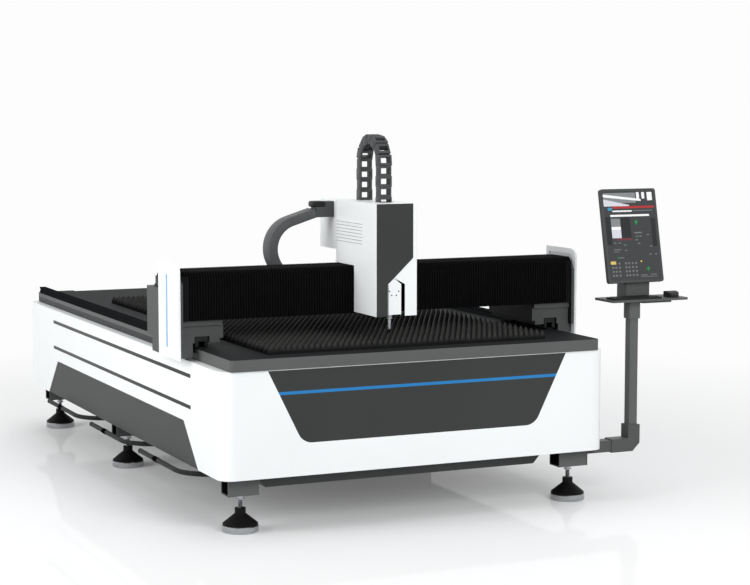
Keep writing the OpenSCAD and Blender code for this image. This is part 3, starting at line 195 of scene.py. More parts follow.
rail_plating = powder_coat("black_rail_plating", "#202122", "#1C1D1E", 0.6, 0.0)
# Matt black: the bars' sleeves, and painted shade in the head, at the gate and in tube ends.
matt_black = powder_coat("matt_black", "#0A0A0A", "#080808", 0.8, 0.0)

# %% [markdown]
# The slag drawers are grey like the frame, and their pull bars, which reach out past the casing,
# have a darker dip coat. The bars begin a little outside the drawers' left ends.

# %% Drawer paint
def drawer_paint():
    made, tree, place = new_finish("drawer_powder_coat")
    drift = add(tree, "TexNoise", {"Vector": place, **SLOW_DRIFT}).outputs["Fac"]
    across = add(tree, "SeparateXYZ", {"Vector": place}).outputs["X"]
    bar = add(tree, "MapRange", {
        "Value": across, "From Min": at(-800, 0, 0).x, "From Max": at(-812, 0, 0).x,
    })
    mix = add(tree, "Mix", {
        "Factor": bar.outputs["Result"],
        MIX_A: tone(tree, drift, "#585A5A", "#5D5F5F"),
        MIX_B: tone(tree, drift, "#272829", "#2B2C2D"),
    }, data_type="RGBA")
    close(tree, mix.outputs[MIX_OUT], Roughness=0.5, Specular_IOR_Level=0.08)
    return made


drawer_coat = drawer_paint()

# %% [markdown]
# The carriages have the frame's grey outside. Their inner sides, above the slats, get a near-black
# paint that is painted shade. The direction of the face and the side of the machine tell which is
# which.

# %% Carriage paint
def carriage_paint():
    made, tree, place = new_finish("carriage_powder_coat")
    drift = add(tree, "TexNoise", {"Vector": place, **SLOW_DRIFT}).outputs["Fac"]
    face = add(tree, "SeparateXYZ", {"Vector": add(tree, "NewGeometry").outputs["True Normal"]})
    across = add(tree, "SeparateXYZ", {"Vector": place}).outputs["X"]
    side = add(tree, "MapRange", {
        "Value": across, "From Min": at(-100, 0, 0).x, "From Max": at(100, 0, 0).x, "To Min": -1.0,
    })
    outward = add(tree, "Math", {
        0: face.outputs["X"], 1: side.outputs["Result"],
    }, operation="MULTIPLY")
    # Faces turned towards the machine's middle get painted shade.
    painted_shade_side = add(tree, "MapRange", {
        "Value": outward.outputs["Value"], "From Min": -0.4, "From Max": -0.6,
    })
    mix = add(tree, "Mix", {
        "Factor": painted_shade_side.outputs["Result"],
        MIX_A: tone(tree, drift, "#4E5050", "#535555"),
        MIX_B: tone(tree, drift, "#1F2020", "#242525"),
    }, data_type="RGBA")
    close(tree, mix.outputs[MIX_OUT], Roughness=0.5, Specular_IOR_Level=0.12)
    return made


carriage_coat = carriage_paint()

# %% [markdown]
# The deck rim is one folded sheet with two paints: a mid grey on its upright edge and a dark,
# rough coat on the top, where sheets slide over it. The direction of the face tells which is which.
# The coat's grit is drawn at two millimetres, coarser than it is, so that it shows.

# %% Deck paint
def deck_paint():
    made, tree, place = new_finish("deck_paint")
    grit = add(tree, "TexNoise", {"Vector": place, "Scale": 420.0, "Detail": 2.0}).outputs["Fac"]
    cloud = add(tree, "TexNoise", {"Vector": place, "Scale": 3.0, "Detail": 4.0}).outputs["Fac"]
    face = add(tree, "SeparateXYZ", {"Vector": add(tree, "NewGeometry").outputs["True Normal"]})
    top = add(tree, "MapRange", {
        "Value": face.outputs["Z"], "From Min": 0.4, "From Max": 0.6,
    }).outputs["Result"]
    edge, dark = [
        add(tree, "Mix", {"Factor": cloud, MIX_A: lin(low), MIX_B: lin(high)}, data_type="RGBA")
        for low, high in (("#5C5E5D", "#616362"), ("#1B1D1E", "#202223"))
    ]
    mix = add(tree, "Mix", {
        "Factor": top, MIX_A: edge.outputs[MIX_OUT], MIX_B: dark.outputs[MIX_OUT],
    }, data_type="RGBA")
    sheen = add(tree, "MapRange", {"Value": top, "To Min": 0.42, "To Max": 0.66})
    bump = add(tree, "Bump", {"Height": grit, "Strength": 0.12, "Distance": 0.0006})
    close(
        tree, mix.outputs[MIX_OUT], Roughness=sheen.outputs["Result"],
        Specular_IOR_Level=0.06, Normal=bump.outputs["Normal"],
    )
    return made


deck_finish = deck_paint()

# %% [markdown]
# Bare steel is a metal, so its colour is in its reflection. A turned or ground face has fine lines
# that spread the highlight. They are too fine to see here, so they only stir the roughness, at
# about a millimetre.

# %% Bare metals
def bare_metal(name, pale, deep, roughness, line_scale=(60.0, 60.0, 900.0)):
    made, tree, place = new_finish(name)
    stretched = add(tree, "Mapping", {"Vector": place, "Scale": line_scale}).outputs["Vector"]
    lines = add(tree, "TexNoise", {"Vector": stretched, "Scale": 1.0, "Detail": 4.0}).outputs["Fac"]
    stir = (lines, roughness - 0.05, roughness + 0.08)
    close(tree, tone(tree, lines, deep, pale), stir, Metallic=1.0)
    return made


turned_steel = bare_metal("turned_steel", "#B4B6B8", "#A0A3A6", 0.24)
ground_steel = bare_metal("ground_rail_steel", "#5A5C5E", "#4C4E50", 0.34)
oiled_steel = bare_metal("black_oxide_steel", "#2A2B2C", "#222324", 0.4)
zinc_steel = bare_metal("zinc_plated_steel", "#C4C8CA", "#ADB1B4", 0.36, (40.0, 40.0, 40.0))


# %% [markdown]
# The slats are cut from hot-rolled sheet with its dark mill scale. The strip below the teeth is
# painted darker than the tips, as painted shade that shows through the gaps between the rows.

# %% Slat steel
def scaled_steel():
    made, tree, place = new_finish("hot_rolled_slat_steel")
    cloud = add(tree, "TexNoise", {"Vector": place, "Scale": 14.0, "Detail": 6.0}).outputs["Fac"]
    height = add(tree, "SeparateXYZ", {"Vector": place}).outputs["Z"]
    # Darker below the tooth tips: painted shade in the gaps between the rows.
    painted_shade_fade = add(tree, "MapRange", {"Value": height, "From Min": 852 * MM, "From Max": 876 * MM})
    mix = add(tree, "Mix", {
        "Factor": painted_shade_fade.outputs["Result"],
        MIX_A: tone(tree, cloud, "#101011", "#171718"),
        MIX_B: tone(tree, cloud, "#383837", "#464544"),
    }, data_type="RGBA")
    bump = add(tree, "Bump", {"Height": cloud, "Strength": 0.1, "Distance": 0.001})
    close(
        tree, mix.outputs[MIX_OUT], (cloud, 0.5, 0.68),
        Metallic=0.2, Specular_IOR_Level=0.2, Normal=bump.outputs["Normal"],
    )
    return made


slat_steel = scaled_steel()


# %% [markdown]
# Moulded plastics and rubber have a fine spark-eroded grain from the mould, drawn a little coarse.

# %% Plastics and rubber
def moulded(name, pale, deep, roughness, gloss=0.25):
    made, tree, place = new_finish(name)
    cells = add(tree, "TexVoronoi", {"Vector": place, "Scale": 600.0}).outputs["Distance"]
    cloud = add(tree, "TexNoise", {"Vector": place, "Scale": 9.0, "Detail": 3.0}).outputs["Fac"]
    bump = add(tree, "Bump", {"Height": cells, "Strength": 0.12, "Distance": 0.0004})
    close(
        tree, tone(tree, cloud, deep, pale), (cloud, roughness - 0.05, roughness + 0.05),
        Specular_IOR_Level=gloss, Normal=bump.outputs["Normal"],
    )
    return made


black_rubber = moulded("black_rubber", "#0F0F10", "#0B0B0C", 0.62, 0.15)
black_plastic = moulded("black_abs", "#1B1C1D", "#161718", 0.46)
grey_plastic = moulded("grey_abs", "#47494A", "#424445", 0.5)
chain_plastic = moulded("chain_nylon", "#525455", "#4B4D4E", 0.48)
loop_plastic = moulded("loop_nylon", "#484A4B", "#434546", 0.48)

# %% [markdown]
# Each CAD node that keeps its own shape now gets its finish, by assigning to its material slots.

# %% Dress the CAD nodes
FINISHES = {
    white_coat: [
        "casing_front", "casing_left", "casing_right", "casing_rear", "end_cover_left",
        "end_cover_right", "head_cover", "rear_housing", "cutting_head",
    ],
    graphite_coat: ["front_inset_panel", "head_front_panel", "side_trim"],
    skirt_coat: ["side_skirts"],
    blue_coat: ["front_stripe"],
    pale_blue_coat: ["cover_stripes"],
    deck_finish: ["deck_front", "deck_left", "deck_right", "deck_rear"],
    frame_coat: [
        "side_beam_left", "side_beam_right", "cross_beams", "slat_combs", "gantry_beam",
        "x_chain_tray",
    ],
    carriage_coat: ["carriage_left", "carriage_right"],
    drawer_coat: ["slag_drawer_1", "slag_drawer_2", "slag_drawer_3"],
    black_coat: ["head_saddle"],
    post_coat: ["console_post", "console_collar", "foot_brackets"],
    elbow_coat: ["console_arm", "console_elbow"],
    tray_coat: ["keyboard_tray"],
    slat_steel: ["slats"],
    turned_steel: [
        "foot_studs", "foot_nuts", "foot_discs", "nozzle", "y_pinion_left", "y_pinion_right",
    ],
    zinc_steel: ["exhaust_spigot"],
    ground_steel: ["x_rails", "y_racks"],
    rail_plating: ["y_rails"],
    oiled_steel: ["y_bearing_blocks", "z_axis_unit", "z_slide"],
    black_rubber: ["foot_cones"],
    black_plastic: ["keyboard", "y_motors", "bellows_left", "bellows_right"],
    grey_plastic: ["monitor", "chain_block"],
    chain_plastic: ["x_cable_chain", "z_cable_chain"],
}
for finish, names in FINISHES.items():
    for name in names:
        nodes[name].data.materials.clear()
        nodes[name].data.materials.append(finish)
undressed = set(nodes) - {name for names in FINISHES.values() for name in names}
print("nodes without a finish:", sorted(undressed))

# %% [markdown]
# New pieces are modelled as by hand: a primitive is added at its size and place, shaped in edit
# mode, and finished with modifiers that are applied. These helpers keep the steps short: clear the
# selection, start a block, a plane or a peg, pick faces, edges or corners by their place, apply a
# modifier, repeat a piece, join pieces, and hand the finished piece to its body.

# %% Modelling helpers
def deselect_all():
    if bpy.context.mode != "OBJECT":
        bpy.ops.object.mode_set(mode="OBJECT")
    bpy.ops.object.select_all(action="DESELECT")


def activate(piece):
    deselect_all()
    piece.select_set(True)
    bpy.context.view_layer.objects.active = piece


def settle(piece):
    """Moves the piece's place into its mesh."""
    activate(piece)
    bpy.ops.object.transform_apply(location=True, rotation=True, scale=True)
    return piece


def start_block(name, low, high):
    """A cube primitive stretched between two corners."""
    deselect_all()
    bpy.ops.mesh.primitive_cube_add(size=1, location=(low + high) / 2)
    piece = bpy.context.object
    piece.name = name
    piece.scale = high - low
    return settle(piece)


def start_plane(name, place, turn, width, height):
    """A plane primitive of a given size, turned and in its place."""
    deselect_all()
    bpy.ops.mesh.primitive_plane_add(size=1, rotation=turn, location=place)
    piece = bpy.context.object
    piece.name = name
    piece.scale = (width, height, 1)
    return settle(piece)


def peg(place, radius, length, sides=24, lying=True):
    """A short round bar with its middle at a place. A lying one points to the front."""
    deselect_all()
    bpy.ops.mesh.primitive_cylinder_add(
        vertices=sides, radius=radius, depth=length, location=place,
        rotation=(math.pi / 2 if lying else 0, 0, 0),
    )
    return settle(bpy.context.object)


def pick(piece, kind, test):
    """Opens edit mode with the faces, edges or corners whose middle passes a test selected."""
    activate(piece)
    bpy.ops.object.mode_set(mode="EDIT")
    bpy.ops.mesh.select_mode(type=kind)
    bpy.ops.mesh.select_all(action="DESELECT")
    bpy.ops.object.mode_set(mode="OBJECT")
    mesh = piece.data
    if kind == "FACE":
        for face in mesh.polygons:
            face.select = test(face.center, face.normal)
    elif kind == "EDGE":
        for edge in mesh.edges:
            ends = [mesh.vertices[i].co for i in edge.vertices]
            edge.select = test((ends[0] + ends[1]) / 2, ends[1] - ends[0])
    else:
        for corner in mesh.vertices:
            corner.select = test(corner.co)
    bpy.ops.object.mode_set(mode="EDIT")


def close_edit():
    bpy.ops.object.mode_set(mode="OBJECT")


def apply(piece, kind, **settings):
    """Adds a modifier and applies it."""
    activate(piece)
    modifier = piece.modifiers.new(kind.lower(), kind)
    for name, value in settings.items():
        setattr(modifier, name, value)
    bpy.ops.object.modifier_apply(modifier=modifier.name)
    return piece


def repeat(piece, count, step, **settings):
    """Repeats the piece along a step."""
    return apply(piece, "ARRAY", count=count, use_relative_offset=False, use_constant_offset=True,
                 constant_offset_displace=step, **settings)


def soften(piece, width, segments=2, angle=40):
    """Rounds the sharp edges, as a press brake or a mould leaves them."""
    apply(piece, "BEVEL", width=width, segments=segments, limit_method="ANGLE",
          angle_limit=math.radians(angle))
    activate(piece)
    bpy.ops.object.shade_smooth_by_angle(angle=math.radians(angle))
    return piece


def copy_of(piece, move=(0, 0, 0)):
    made = piece.copy()
    made.data = piece.data.copy()
    bpy.context.scene.collection.objects.link(made)
    made.location = Vector(move)
    return settle(made)


def join(name, pieces):
    deselect_all()
    for piece in pieces:
        piece.select_set(True)
    bpy.context.view_layer.objects.active = pieces[0]
    if len(pieces) > 1:
        bpy.ops.object.join()
    pieces[0].name = name
    return pieces[0]


def dress(piece, finish, body=None):
    """Gives a finished piece its material and the body it rides on."""
    piece.data.materials.clear()
    piece.data.materials.append(finish)
    if body:
        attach(piece, body)
    print("made", piece.name, "with", len(piece.data.polygons), "faces")
    return piece


# %% [markdown]
# The slats are strips of sheet steel standing on edge, with a saw-tooth upper edge so that the
# sheet lies on points. One strip starts as a grid with four columns a tooth: the shoulders and the
# tips are pulled up, the strip gets its thickness, and an array repeats it along the table.

# %% Slats
SLAT_PITCH = 57 * MM
TOOTH_WIDTH = 30 * MM
TOOTH_HEIGHT = 31 * MM
SLAT_SHEET = 4 * MM
slat_low, slat_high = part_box("slats")
teeth = round((slat_high.x - slat_low.x) / TOOTH_WIDTH)
slat_count = round((slat_high.y - slat_low.y - SLAT_SHEET) / SLAT_PITCH) + 1
strip_height = slat_high.z - slat_low.z - TOOTH_HEIGHT
strip_y, strip_z = slat_low.y + SLAT_SHEET / 2, slat_low.z + strip_height / 2
deselect_all()
bpy.ops.mesh.primitive_grid_add(
    x_subdivisions=4 * teeth, y_subdivisions=1, size=1, rotation=(math.pi / 2, 0, 0),
    location=((slat_low.x + slat_high.x) / 2, strip_y, strip_z),
)
slats = bpy.context.object
slats.scale = (slat_high.x - slat_low.x, strip_height, 1)
settle(slats)
column = (slat_high.x - slat_low.x) / (4 * teeth)
valley_z = slat_low.z + strip_height
for phase, rise in ((1, 0.6), (2, 1.0), (3, 0.6)):
    pick(slats, "VERT", lambda co: (
        co.z > valley_z - 1e-4 and round((co.x - slat_low.x) / column) % 4 == phase
    ))
    bpy.ops.transform.translate(value=(0, 0, rise * TOOTH_HEIGHT))
    close_edit()
apply(slats, "SOLIDIFY", thickness=SLAT_SHEET, offset=0)
repeat(slats, slat_count, (0, SLAT_PITCH, 0))
slats.name = "slat_strips"
dress(slats, slat_steel, "bed")
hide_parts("slats")
print("slats:", slat_count, "strips of", teeth, "teeth")

# %% [markdown]
# The bellows are pleated cloth, coated with black polyurethane, and hang over the beam like a long
# hood: front, chamfer, top and a short lip at the back. When the head travels, one side opens and
# the other closes. One pleat starts as a plane on edge, left as an outline with its front corner
# cut. The outline is extruded across the pleat, drawn in at the valley and out again at the next
# peak. A bellows is made in eight lengths. Each is given a share of the head's travel that grows
# evenly from one end to the other, but the lengths stay where they are made. The cloth's weave is
# drawn at two and a half millimetres, coarser than it is, so that it shows.

# %% Bellows cloth
def coated_cloth():
    made, tree, place = new_finish("coated_bellows_cloth")
    weave = add(tree, "TexWave", {
        "Vector": place, "Scale": 120.0, "Distortion": 0.6, "Detail": 1.0,
    }, bands_direction="Z").outputs["Fac"]
    cloud = add(tree, "TexNoise", {"Vector": place, "Scale": 30.0, "Detail": 4.0}).outputs["Fac"]
    bump = add(tree, "Bump", {"Height": weave, "Strength": 0.08, "Distance": 0.0006})
    close(
        tree, tone(tree, cloud, "#0F0F11", "#141415"), (cloud, 0.68, 0.78),
        Specular_IOR_Level=0.05, Normal=bump.outputs["Normal"],
    )
    return made


bellows_cloth = coated_cloth()


def follow_evenly(piece, first, second, near, far, near_weight, far_weight):
    """Bakes the piece's place into its mesh."""
    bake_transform(piece)


# %% Bellows
HOOD_FRONT, HOOD_BACK = 425, 643
HOOD_LOW, HOOD_HIGH, HOOD_LIP = 985, 1226, 1180
HOOD_CHAMFER = 25
CLOTH = 1.5 * MM
PLEAT_DEPTH, PLEAT_WIDTH = 10, 14
FLAT = 0.08
SLOPE = 0.5 - 2 * FLAT
PLEAT_FOLDS = ((FLAT, 1), (SLOPE, 0), (2 * FLAT, 0), (SLOPE, 1), (FLAT, 1))
VALLEY_SCALE = (
    1,
    1 - 2 * PLEAT_DEPTH / (HOOD_BACK - HOOD_FRONT),
    1 - PLEAT_DEPTH / (HOOD_HIGH - HOOD_LOW),
)
LENGTHS = 8


def pleat(name, left, width):
    """One pleat of the hood, from its left peak to its right peak."""
    front, back = at(0, HOOD_FRONT, 0).y, at(0, HOOD_BACK, 0).y
    low, high = HOOD_LOW * MM, HOOD_HIGH * MM
    middle = Vector((left, (front + back) / 2, low))
    place = (left, middle.y, (low + high) / 2)
    piece = start_plane(name, place, (0, math.pi / 2, 0), high - low, back - front)
    pick(piece, "FACE", lambda centre, normal: True)
    bpy.ops.mesh.delete(type="ONLY_FACE")
    close_edit()
    pick(piece, "EDGE", lambda centre, along: centre.z < low + 1e-4)
    bpy.ops.mesh.delete(type="EDGE")
    close_edit()
    pick(piece, "VERT", lambda co: co.z < low + 1e-4 and co.y > middle.y)
    bpy.ops.transform.translate(value=(0, 0, HOOD_LIP * MM - low))
    close_edit()
    pick(piece, "VERT", lambda co: co.z > high - 1e-4 and co.y < middle.y)
    bpy.ops.mesh.bevel(affect="VERTICES", offset=HOOD_CHAMFER * MM, segments=1)
    close_edit()
    pick(piece, "VERT", lambda co: True)
    peak_before = 1
    for share, peak in PLEAT_FOLDS:
        bpy.ops.mesh.extrude_region_move(TRANSFORM_OT_translate={"value": (share * width, 0, 0)})
        if peak != peak_before:
            scale = VALLEY_SCALE if peak == 0 else tuple(1 / s for s in VALLEY_SCALE)
            bpy.ops.transform.resize(value=scale, center_override=middle)
        peak_before = peak
    close_edit()
    return piece


def bellows(side, left, right, left_weight, right_weight):
    """Eight lengths between two ends. A weight is the share of the head's travel at that end."""
    pleats = round((right - left) / (PLEAT_WIDTH * MM))
    width = (right - left) / pleats
    breaks = [round(i * pleats / LENGTHS) for i in range(LENGTHS + 1)]
    made = []
    for i in range(LENGTHS):
        near, far = left + breaks[i] * width, left + breaks[i + 1] * width
        piece = pleat(f"bellows_{side}_{i + 1}", near, width)
        repeat(piece, breaks[i + 1] - breaks[i], (width, 0, 0), use_merge_vertices=True,
               merge_threshold=0.5 * MM)
        activate(piece)
        bpy.ops.object.mode_set(mode="EDIT")
        bpy.ops.mesh.select_all(action="SELECT")
        bpy.ops.mesh.normals_make_consistent(inside=False)
        close_edit()
        apply(piece, "SOLIDIFY", thickness=CLOTH, offset=-1)
        dress(piece, bellows_cloth)
        weights = [
            left_weight + (right_weight - left_weight) * b / pleats
            for b in (breaks[i], breaks[i + 1])
        ]
        ends = [Vector((near, 0, 0)), Vector((far, 0, 0))]
        if weights[0] > weights[1]:
            ends.reverse()
            weights.reverse()
        follow_evenly(piece, "gantry", "head", ends[0], ends[1], weights[0], weights[1])
        made.append(piece)
    return made


for side, weights in (("left", (0, 1)), ("right", (1, 0))):
    low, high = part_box("bellows_" + side)
    lengths = bellows(side, low.x, high.x, *weights)
    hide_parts("bellows_" + side)
    print("bellows", side, "in", len(lengths), "lengths")

# %% [markdown]
# The loop over the head is a chain of nylon links. Each link is a short box with a window through
# it: a block whose front and back are inset to the window, with the inner faces removed and the two
# holes bridged. Each cheek gets a raised plate. Copies stand along the two legs and round the arch,
# and every second one is slimmer, as such links sit in one another. On the machine the front leg is
# fixed to the slide of the cutting head, so the loop bends between the head and the slide; here the
# loop is one piece that stays where it is made.

# %% Link chain
LINK_WIDTH, LINK_DEPTH, LINK_PITCH = 68 * MM, 50 * MM, 51 * MM
WINDOW_WIDTH, WINDOW_HEIGHT = 50 * MM, 28 * MM
LINK_OVERLAP = 1.03
SLIM_LINK = (0.95, 0.92, 1)
chain_low, chain_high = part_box("z_cable_chain")
chain_x = (chain_low.x + chain_high.x) / 2
front_y = chain_low.y + LINK_DEPTH / 2
rear_y = chain_high.y - LINK_DEPTH / 2
arch_r = (rear_y - front_y) / 2
arch_z = chain_high.z - LINK_DEPTH / 2 - arch_r
front_z = chain_low.z
rear_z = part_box("head_cover")[1].z
front_leg, arch_run, rear_leg = arch_z - front_z, math.pi * arch_r, arch_z - rear_z
link_count = round((front_leg + arch_run + rear_leg) / LINK_PITCH)
link_run = (front_leg + arch_run + rear_leg) / link_count


def loop_place(run):
    """Place and turn about X at a distance along the loop from the front leg's foot."""
    if run < front_leg:
        return Vector((chain_x, front_y, front_z + run)), (0, 0, 0)
    if run < front_leg + arch_run:
        turn = (run - front_leg) / arch_r
        middle = Vector((chain_x, (front_y + rear_y) / 2, arch_z))
        return middle + arch_r * Vector((0, -math.cos(turn), math.sin(turn))), (-turn, 0, 0)
    return Vector((chain_x, rear_y, arch_z - (run - front_leg - arch_run))), (-math.pi, 0, 0)


def lay_links(name, link, places, slim=(1, 1, 1)):
    """Copies of a link at each place and turn, joined. Every second link may be slimmer."""
    laid = []
    for i, (place, turn) in enumerate(places):
        made = copy_of(link)
        made.location = place
        made.rotation_euler = turn
        if i % 2:
            made.scale = slim
        laid.append(settle(made))
    return join(name, laid)


half = Vector((LINK_WIDTH, LINK_DEPTH, link_run * LINK_OVERLAP)) / 2
link = start_block("link", -half, half)
cheek = (LINK_WIDTH - WINDOW_WIDTH) / 2
pick(link, "FACE", lambda middle, normal: abs(normal.y) > 0.9)
bpy.ops.mesh.inset(thickness=cheek, depth=0, use_individual=True)
bpy.ops.transform.resize(
    value=(1, 1, WINDOW_HEIGHT / (2 * half.z - 2 * cheek)), center_override=(0, 0, 0),
)
bpy.ops.mesh.delete(type="ONLY_FACE")
close_edit()
pick(link, "EDGE", lambda middle, along: (
    abs(middle.y) > 0.02 and abs(middle.x) < WINDOW_WIDTH / 2 + 1e-4
    and abs(middle.z) < WINDOW_HEIGHT / 2 + 1e-4
))
bpy.ops.mesh.bridge_edge_loops()
close_edit()
pick(link, "FACE", lambda middle, normal: abs(middle.x) > LINK_WIDTH / 2 - 1e-4)
bpy.ops.mesh.inset(thickness=7 * MM, depth=0, use_individual=True)
bpy.ops.mesh.inset(thickness=1.5 * MM, depth=1.5 * MM, use_individual=True)
close_edit()
soften(link, 1.2 * MM, 2, 50)
places = [loop_place((i + 0.5) * link_run) for i in range(link_count)]
loop = lay_links("cable_loop", link, places, SLIM_LINK)
bpy.data.objects.remove(link)
dress(loop, loop_plastic)
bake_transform(loop)
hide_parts("z_cable_chain")
print("link chain:", link_count, "links")

# %% [markdown]
# The chain behind the beam is a closed one: flat links that make a smooth band. It runs from a
# clamp on the tray, round a bend and up a slope to the head. A straight run is a row of blocks with
# fine seams. The bend is the band's end face, spun about the middle of the bend. On the machine the
# lower run is fixed at one end, the bend follows the head for most of its travel, and the upper run
# ends on the head. The two shares say how much of the head's travel the bend's lower and upper end
# would follow; here every piece stays where it is made.

# %% Smooth cable chain
BAND_WIDTH, BAND_DEPTH, BAND_LINK = 95 * MM, 46 * MM, 40 * MM
BEND_RADIUS, BEND_SLOPE = 146 * MM, math.radians(17.5)
RUN_SHARE, RISE_SHARE = 0.72, 0.9
RUN_PARTS = 4
band_low, band_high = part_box("x_cable_chain")
band_y = band_low.y + BAND_WIDTH / 2
bend_x = band_low.x + BEND_RADIUS + BAND_DEPTH / 2
run_z = band_low.z + BAND_DEPTH / 2
bend_z = run_z + BEND_RADIUS
rise_x = bend_x - BEND_RADIUS * math.sin(BEND_SLOPE)
rise_z = bend_z + BEND_RADIUS * math.cos(BEND_SLOPE)
clamp_x = band_high.x
block_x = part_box("chain_block")[0].x
rise_run = (block_x - rise_x) / math.cos(BEND_SLOPE)


def band_link(length):
    half = Vector((length, BAND_WIDTH, BAND_DEPTH)) / 2
    return soften(start_block("band_link", -half, half), 0.8 * MM, 2)


def straight_places(first, last, count, tilt=0.0):
    """Places of links along a straight line."""
    return [(first.lerp(last, (i + 0.5) / count), (0, tilt, 0)) for i in range(count)]


# %% Lower run of the smooth chain
run_length = clamp_x - bend_x
run_links = RUN_PARTS * round(run_length / BAND_LINK / RUN_PARTS)
link = band_link(run_length / run_links)
for part in range(RUN_PARTS):
    shares = (part / RUN_PARTS, (part + 1) / RUN_PARTS)
    near, far = [Vector((clamp_x - share * run_length, band_y, run_z)) for share in shares]
    places = straight_places(near, far, run_links // RUN_PARTS)
    piece = lay_links(f"chain_run_{part + 1}", link, places)
    dress(piece, chain_plastic)
    follow_evenly(piece, "gantry", "head", near, far, *[RUN_SHARE * share for share in shares])
bpy.data.objects.remove(link)

# %% Bend and rise of the smooth chain
sweep = math.pi - BEND_SLOPE
low_end, high_end = Vector((bend_x, band_y, run_z)), Vector((bend_x, band_y, rise_z))
piece = start_plane("chain_bend", low_end, (0, math.pi / 2, 0), BAND_DEPTH, BAND_WIDTH)
pick(piece, "FACE", lambda middle, normal: True)
bpy.ops.mesh.spin(steps=36, angle=-sweep, center=(bend_x, band_y, bend_z), axis=(0, 1, 0))
close_edit()
soften(piece, 0.8 * MM, 2)
dress(piece, chain_plastic)
follow_evenly(piece, "gantry", "head", low_end, high_end, RUN_SHARE, RISE_SHARE)
rise_links = round(rise_run / BAND_LINK)
link = band_link(rise_run / rise_links)
near = Vector((rise_x, band_y, rise_z))
far = near + rise_run * Vector((math.cos(BEND_SLOPE), 0, math.sin(BEND_SLOPE)))
piece = lay_links("chain_rise", link, straight_places(near, far, rise_links, -BEND_SLOPE))
bpy.data.objects.remove(link)
dress(piece, chain_plastic)
follow_evenly(piece, "gantry", "head", near, far, RISE_SHARE, 1.0)
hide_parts("x_cable_chain")

# %% [markdown]
# A black clip holds the end of the band on its clamp block. A bellows ends in a stiff frame at the
# gantry's side plate, which shows as flat bands beside the last pleats. The clip is a block with
# well rounded edges, and the bands are one rib, repeated.

# %% Chain clip and bellows frames
clip = start_block("chain_clip", at(-293, 672, 1506), at(-220, 746, 1538))
soften(clip, 12 * MM, 4)
dress(clip, black_plastic, "head")

RIB_WIDTH, RIB_PITCH = 9, 11


def bellows_frame(name, x):
    """Three flat ribs across the front of the hood, side by side."""
    low = at(x, HOOD_FRONT - 1, HOOD_LOW)
    high = at(x + RIB_WIDTH, HOOD_FRONT + 12, HOOD_HIGH - HOOD_CHAMFER)
    rib = start_block(name, low, high)
    repeat(rib, 3, (RIB_PITCH * MM, 0, 0))
    soften(rib, 1.5 * MM)
    return dress(rib, black_rubber, "gantry")


bellows_frame("bellows_frame_right", 1049)
bellows_frame("bellows_frame_left", -1080)

# %% [markdown]
# The head's sides have louvres that let warm air out. A fin is a thin strip, tilted so that its
# lower edge stands out. A grey line below each fin is the slot in its shade. One fin and one line
# are made for each side and repeated down the cover, which needs no cuts in the cover's own mesh.

# %% Louvres
LOUVRES, LOUVRE_PITCH, LOUVRE_TILT = 7, 16.5, math.radians(40)
FIN_HALF, FIN_INSET, FIN_DROP = Vector((0.7, 161, 5.6)) * MM, 1.2 * MM, 102.5 * MM
SLOT_PROUD, SLOT_LOW, SLOT_HIGH = 0.4 * MM, 109.5 * MM, 108.1 * MM
SLOT_FRONT, SLOT_MIDDLE, SLOT_REAR = [at(0, y, 0).y for y in (324, 484, 644)]
head_low, head_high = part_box("head_cover")
louvre_step = (0, 0, -LOUVRE_PITCH * MM)
for side, wall, inward in (("left", head_low.x, 1), ("right", head_high.x, -1)):
    fin = start_block(f"louvres_{side}", -FIN_HALF, FIN_HALF)
    fin.rotation_euler = (0, inward * LOUVRE_TILT, 0)
    fin.location = (wall + inward * FIN_INSET, SLOT_MIDDLE, head_high.z - FIN_DROP)
    repeat(settle(fin), LOUVRES, louvre_step)
    dress(fin, white_coat, "head")
    shade = start_block(
        f"louvre_slots_{side}",
        Vector((wall - SLOT_PROUD, SLOT_FRONT, head_high.z - SLOT_LOW)),
        Vector((wall + SLOT_PROUD, SLOT_REAR, head_high.z - SLOT_HIGH)),
    )
    repeat(shade, LOUVRES, louvre_step)
    dress(shade, grey_plastic, "head")

# %% [markdown]
# A white lip closes the head's sides down to the bellows. Matt black plates on the gate's left edge
# and inside the head's right wall are painted shade, where the gate lets the eye in. All of them
# are plain thin plates, since a stretched block is all that sheet metal with square edges needs.

# %% Head lips and lining
for name, x in (("head_lip_left", -176.2), ("head_lip_right", 45)):
    lip = start_block(name, at(x, 424, 1226.6), at(x + 2.2, 656, 1237.5))
    dress(lip, white_coat, "head")
# Painted shade: a matt black plate on the gate's left edge.
edge = start_block("gate_painted_shade", at(-112.6, 153.4, 993.5), at(-110.2, 158, 1149))
dress(edge, matt_black, "head")
# Painted shade: a matt black plate inside the head's right wall.
head_shade = start_block("head_painted_shade", at(41.2, 160, 996), at(42.8, 420, 1222))
dress(head_shade, matt_black, "head")

# %% [markdown]
# Turned pieces are drawn from the top down: a circle is extruded step by step, and each new ring is
# scaled to its radius. A list of rings reads like a lathe drawing: the nozzle's collars, waist and
# cone are each a few pairs of numbers.

# %% Nozzle
def turned(name, middle, rings, sides=40):
    """A turned piece from a list of radius and height pairs, in millimetres."""
    radius, height = rings[0]
    deselect_all()
    bpy.ops.mesh.primitive_circle_add(
        vertices=sides, radius=radius * MM, fill_type="NGON",
        location=(middle.x, middle.y, height * MM),
    )
    piece = bpy.context.object
    piece.name = name
    settle(piece)
    pick(piece, "FACE", lambda centre, normal: True)
    for next_radius, next_height in rings[1:]:
        drop = (next_height - height) * MM
        bpy.ops.mesh.extrude_region_move(TRANSFORM_OT_translate={"value": (0, 0, drop)})
        share = next_radius / radius
        bpy.ops.transform.resize(
            value=(share, share, 1), center_override=(middle.x, middle.y, next_height * MM),
        )
        radius, height = next_radius, next_height
    bpy.ops.mesh.select_all(action="SELECT")
    bpy.ops.mesh.normals_make_consistent(inside=False)
    close_edit()
    activate(piece)
    bpy.ops.object.shade_smooth_by_angle(angle=math.radians(30))
    return piece


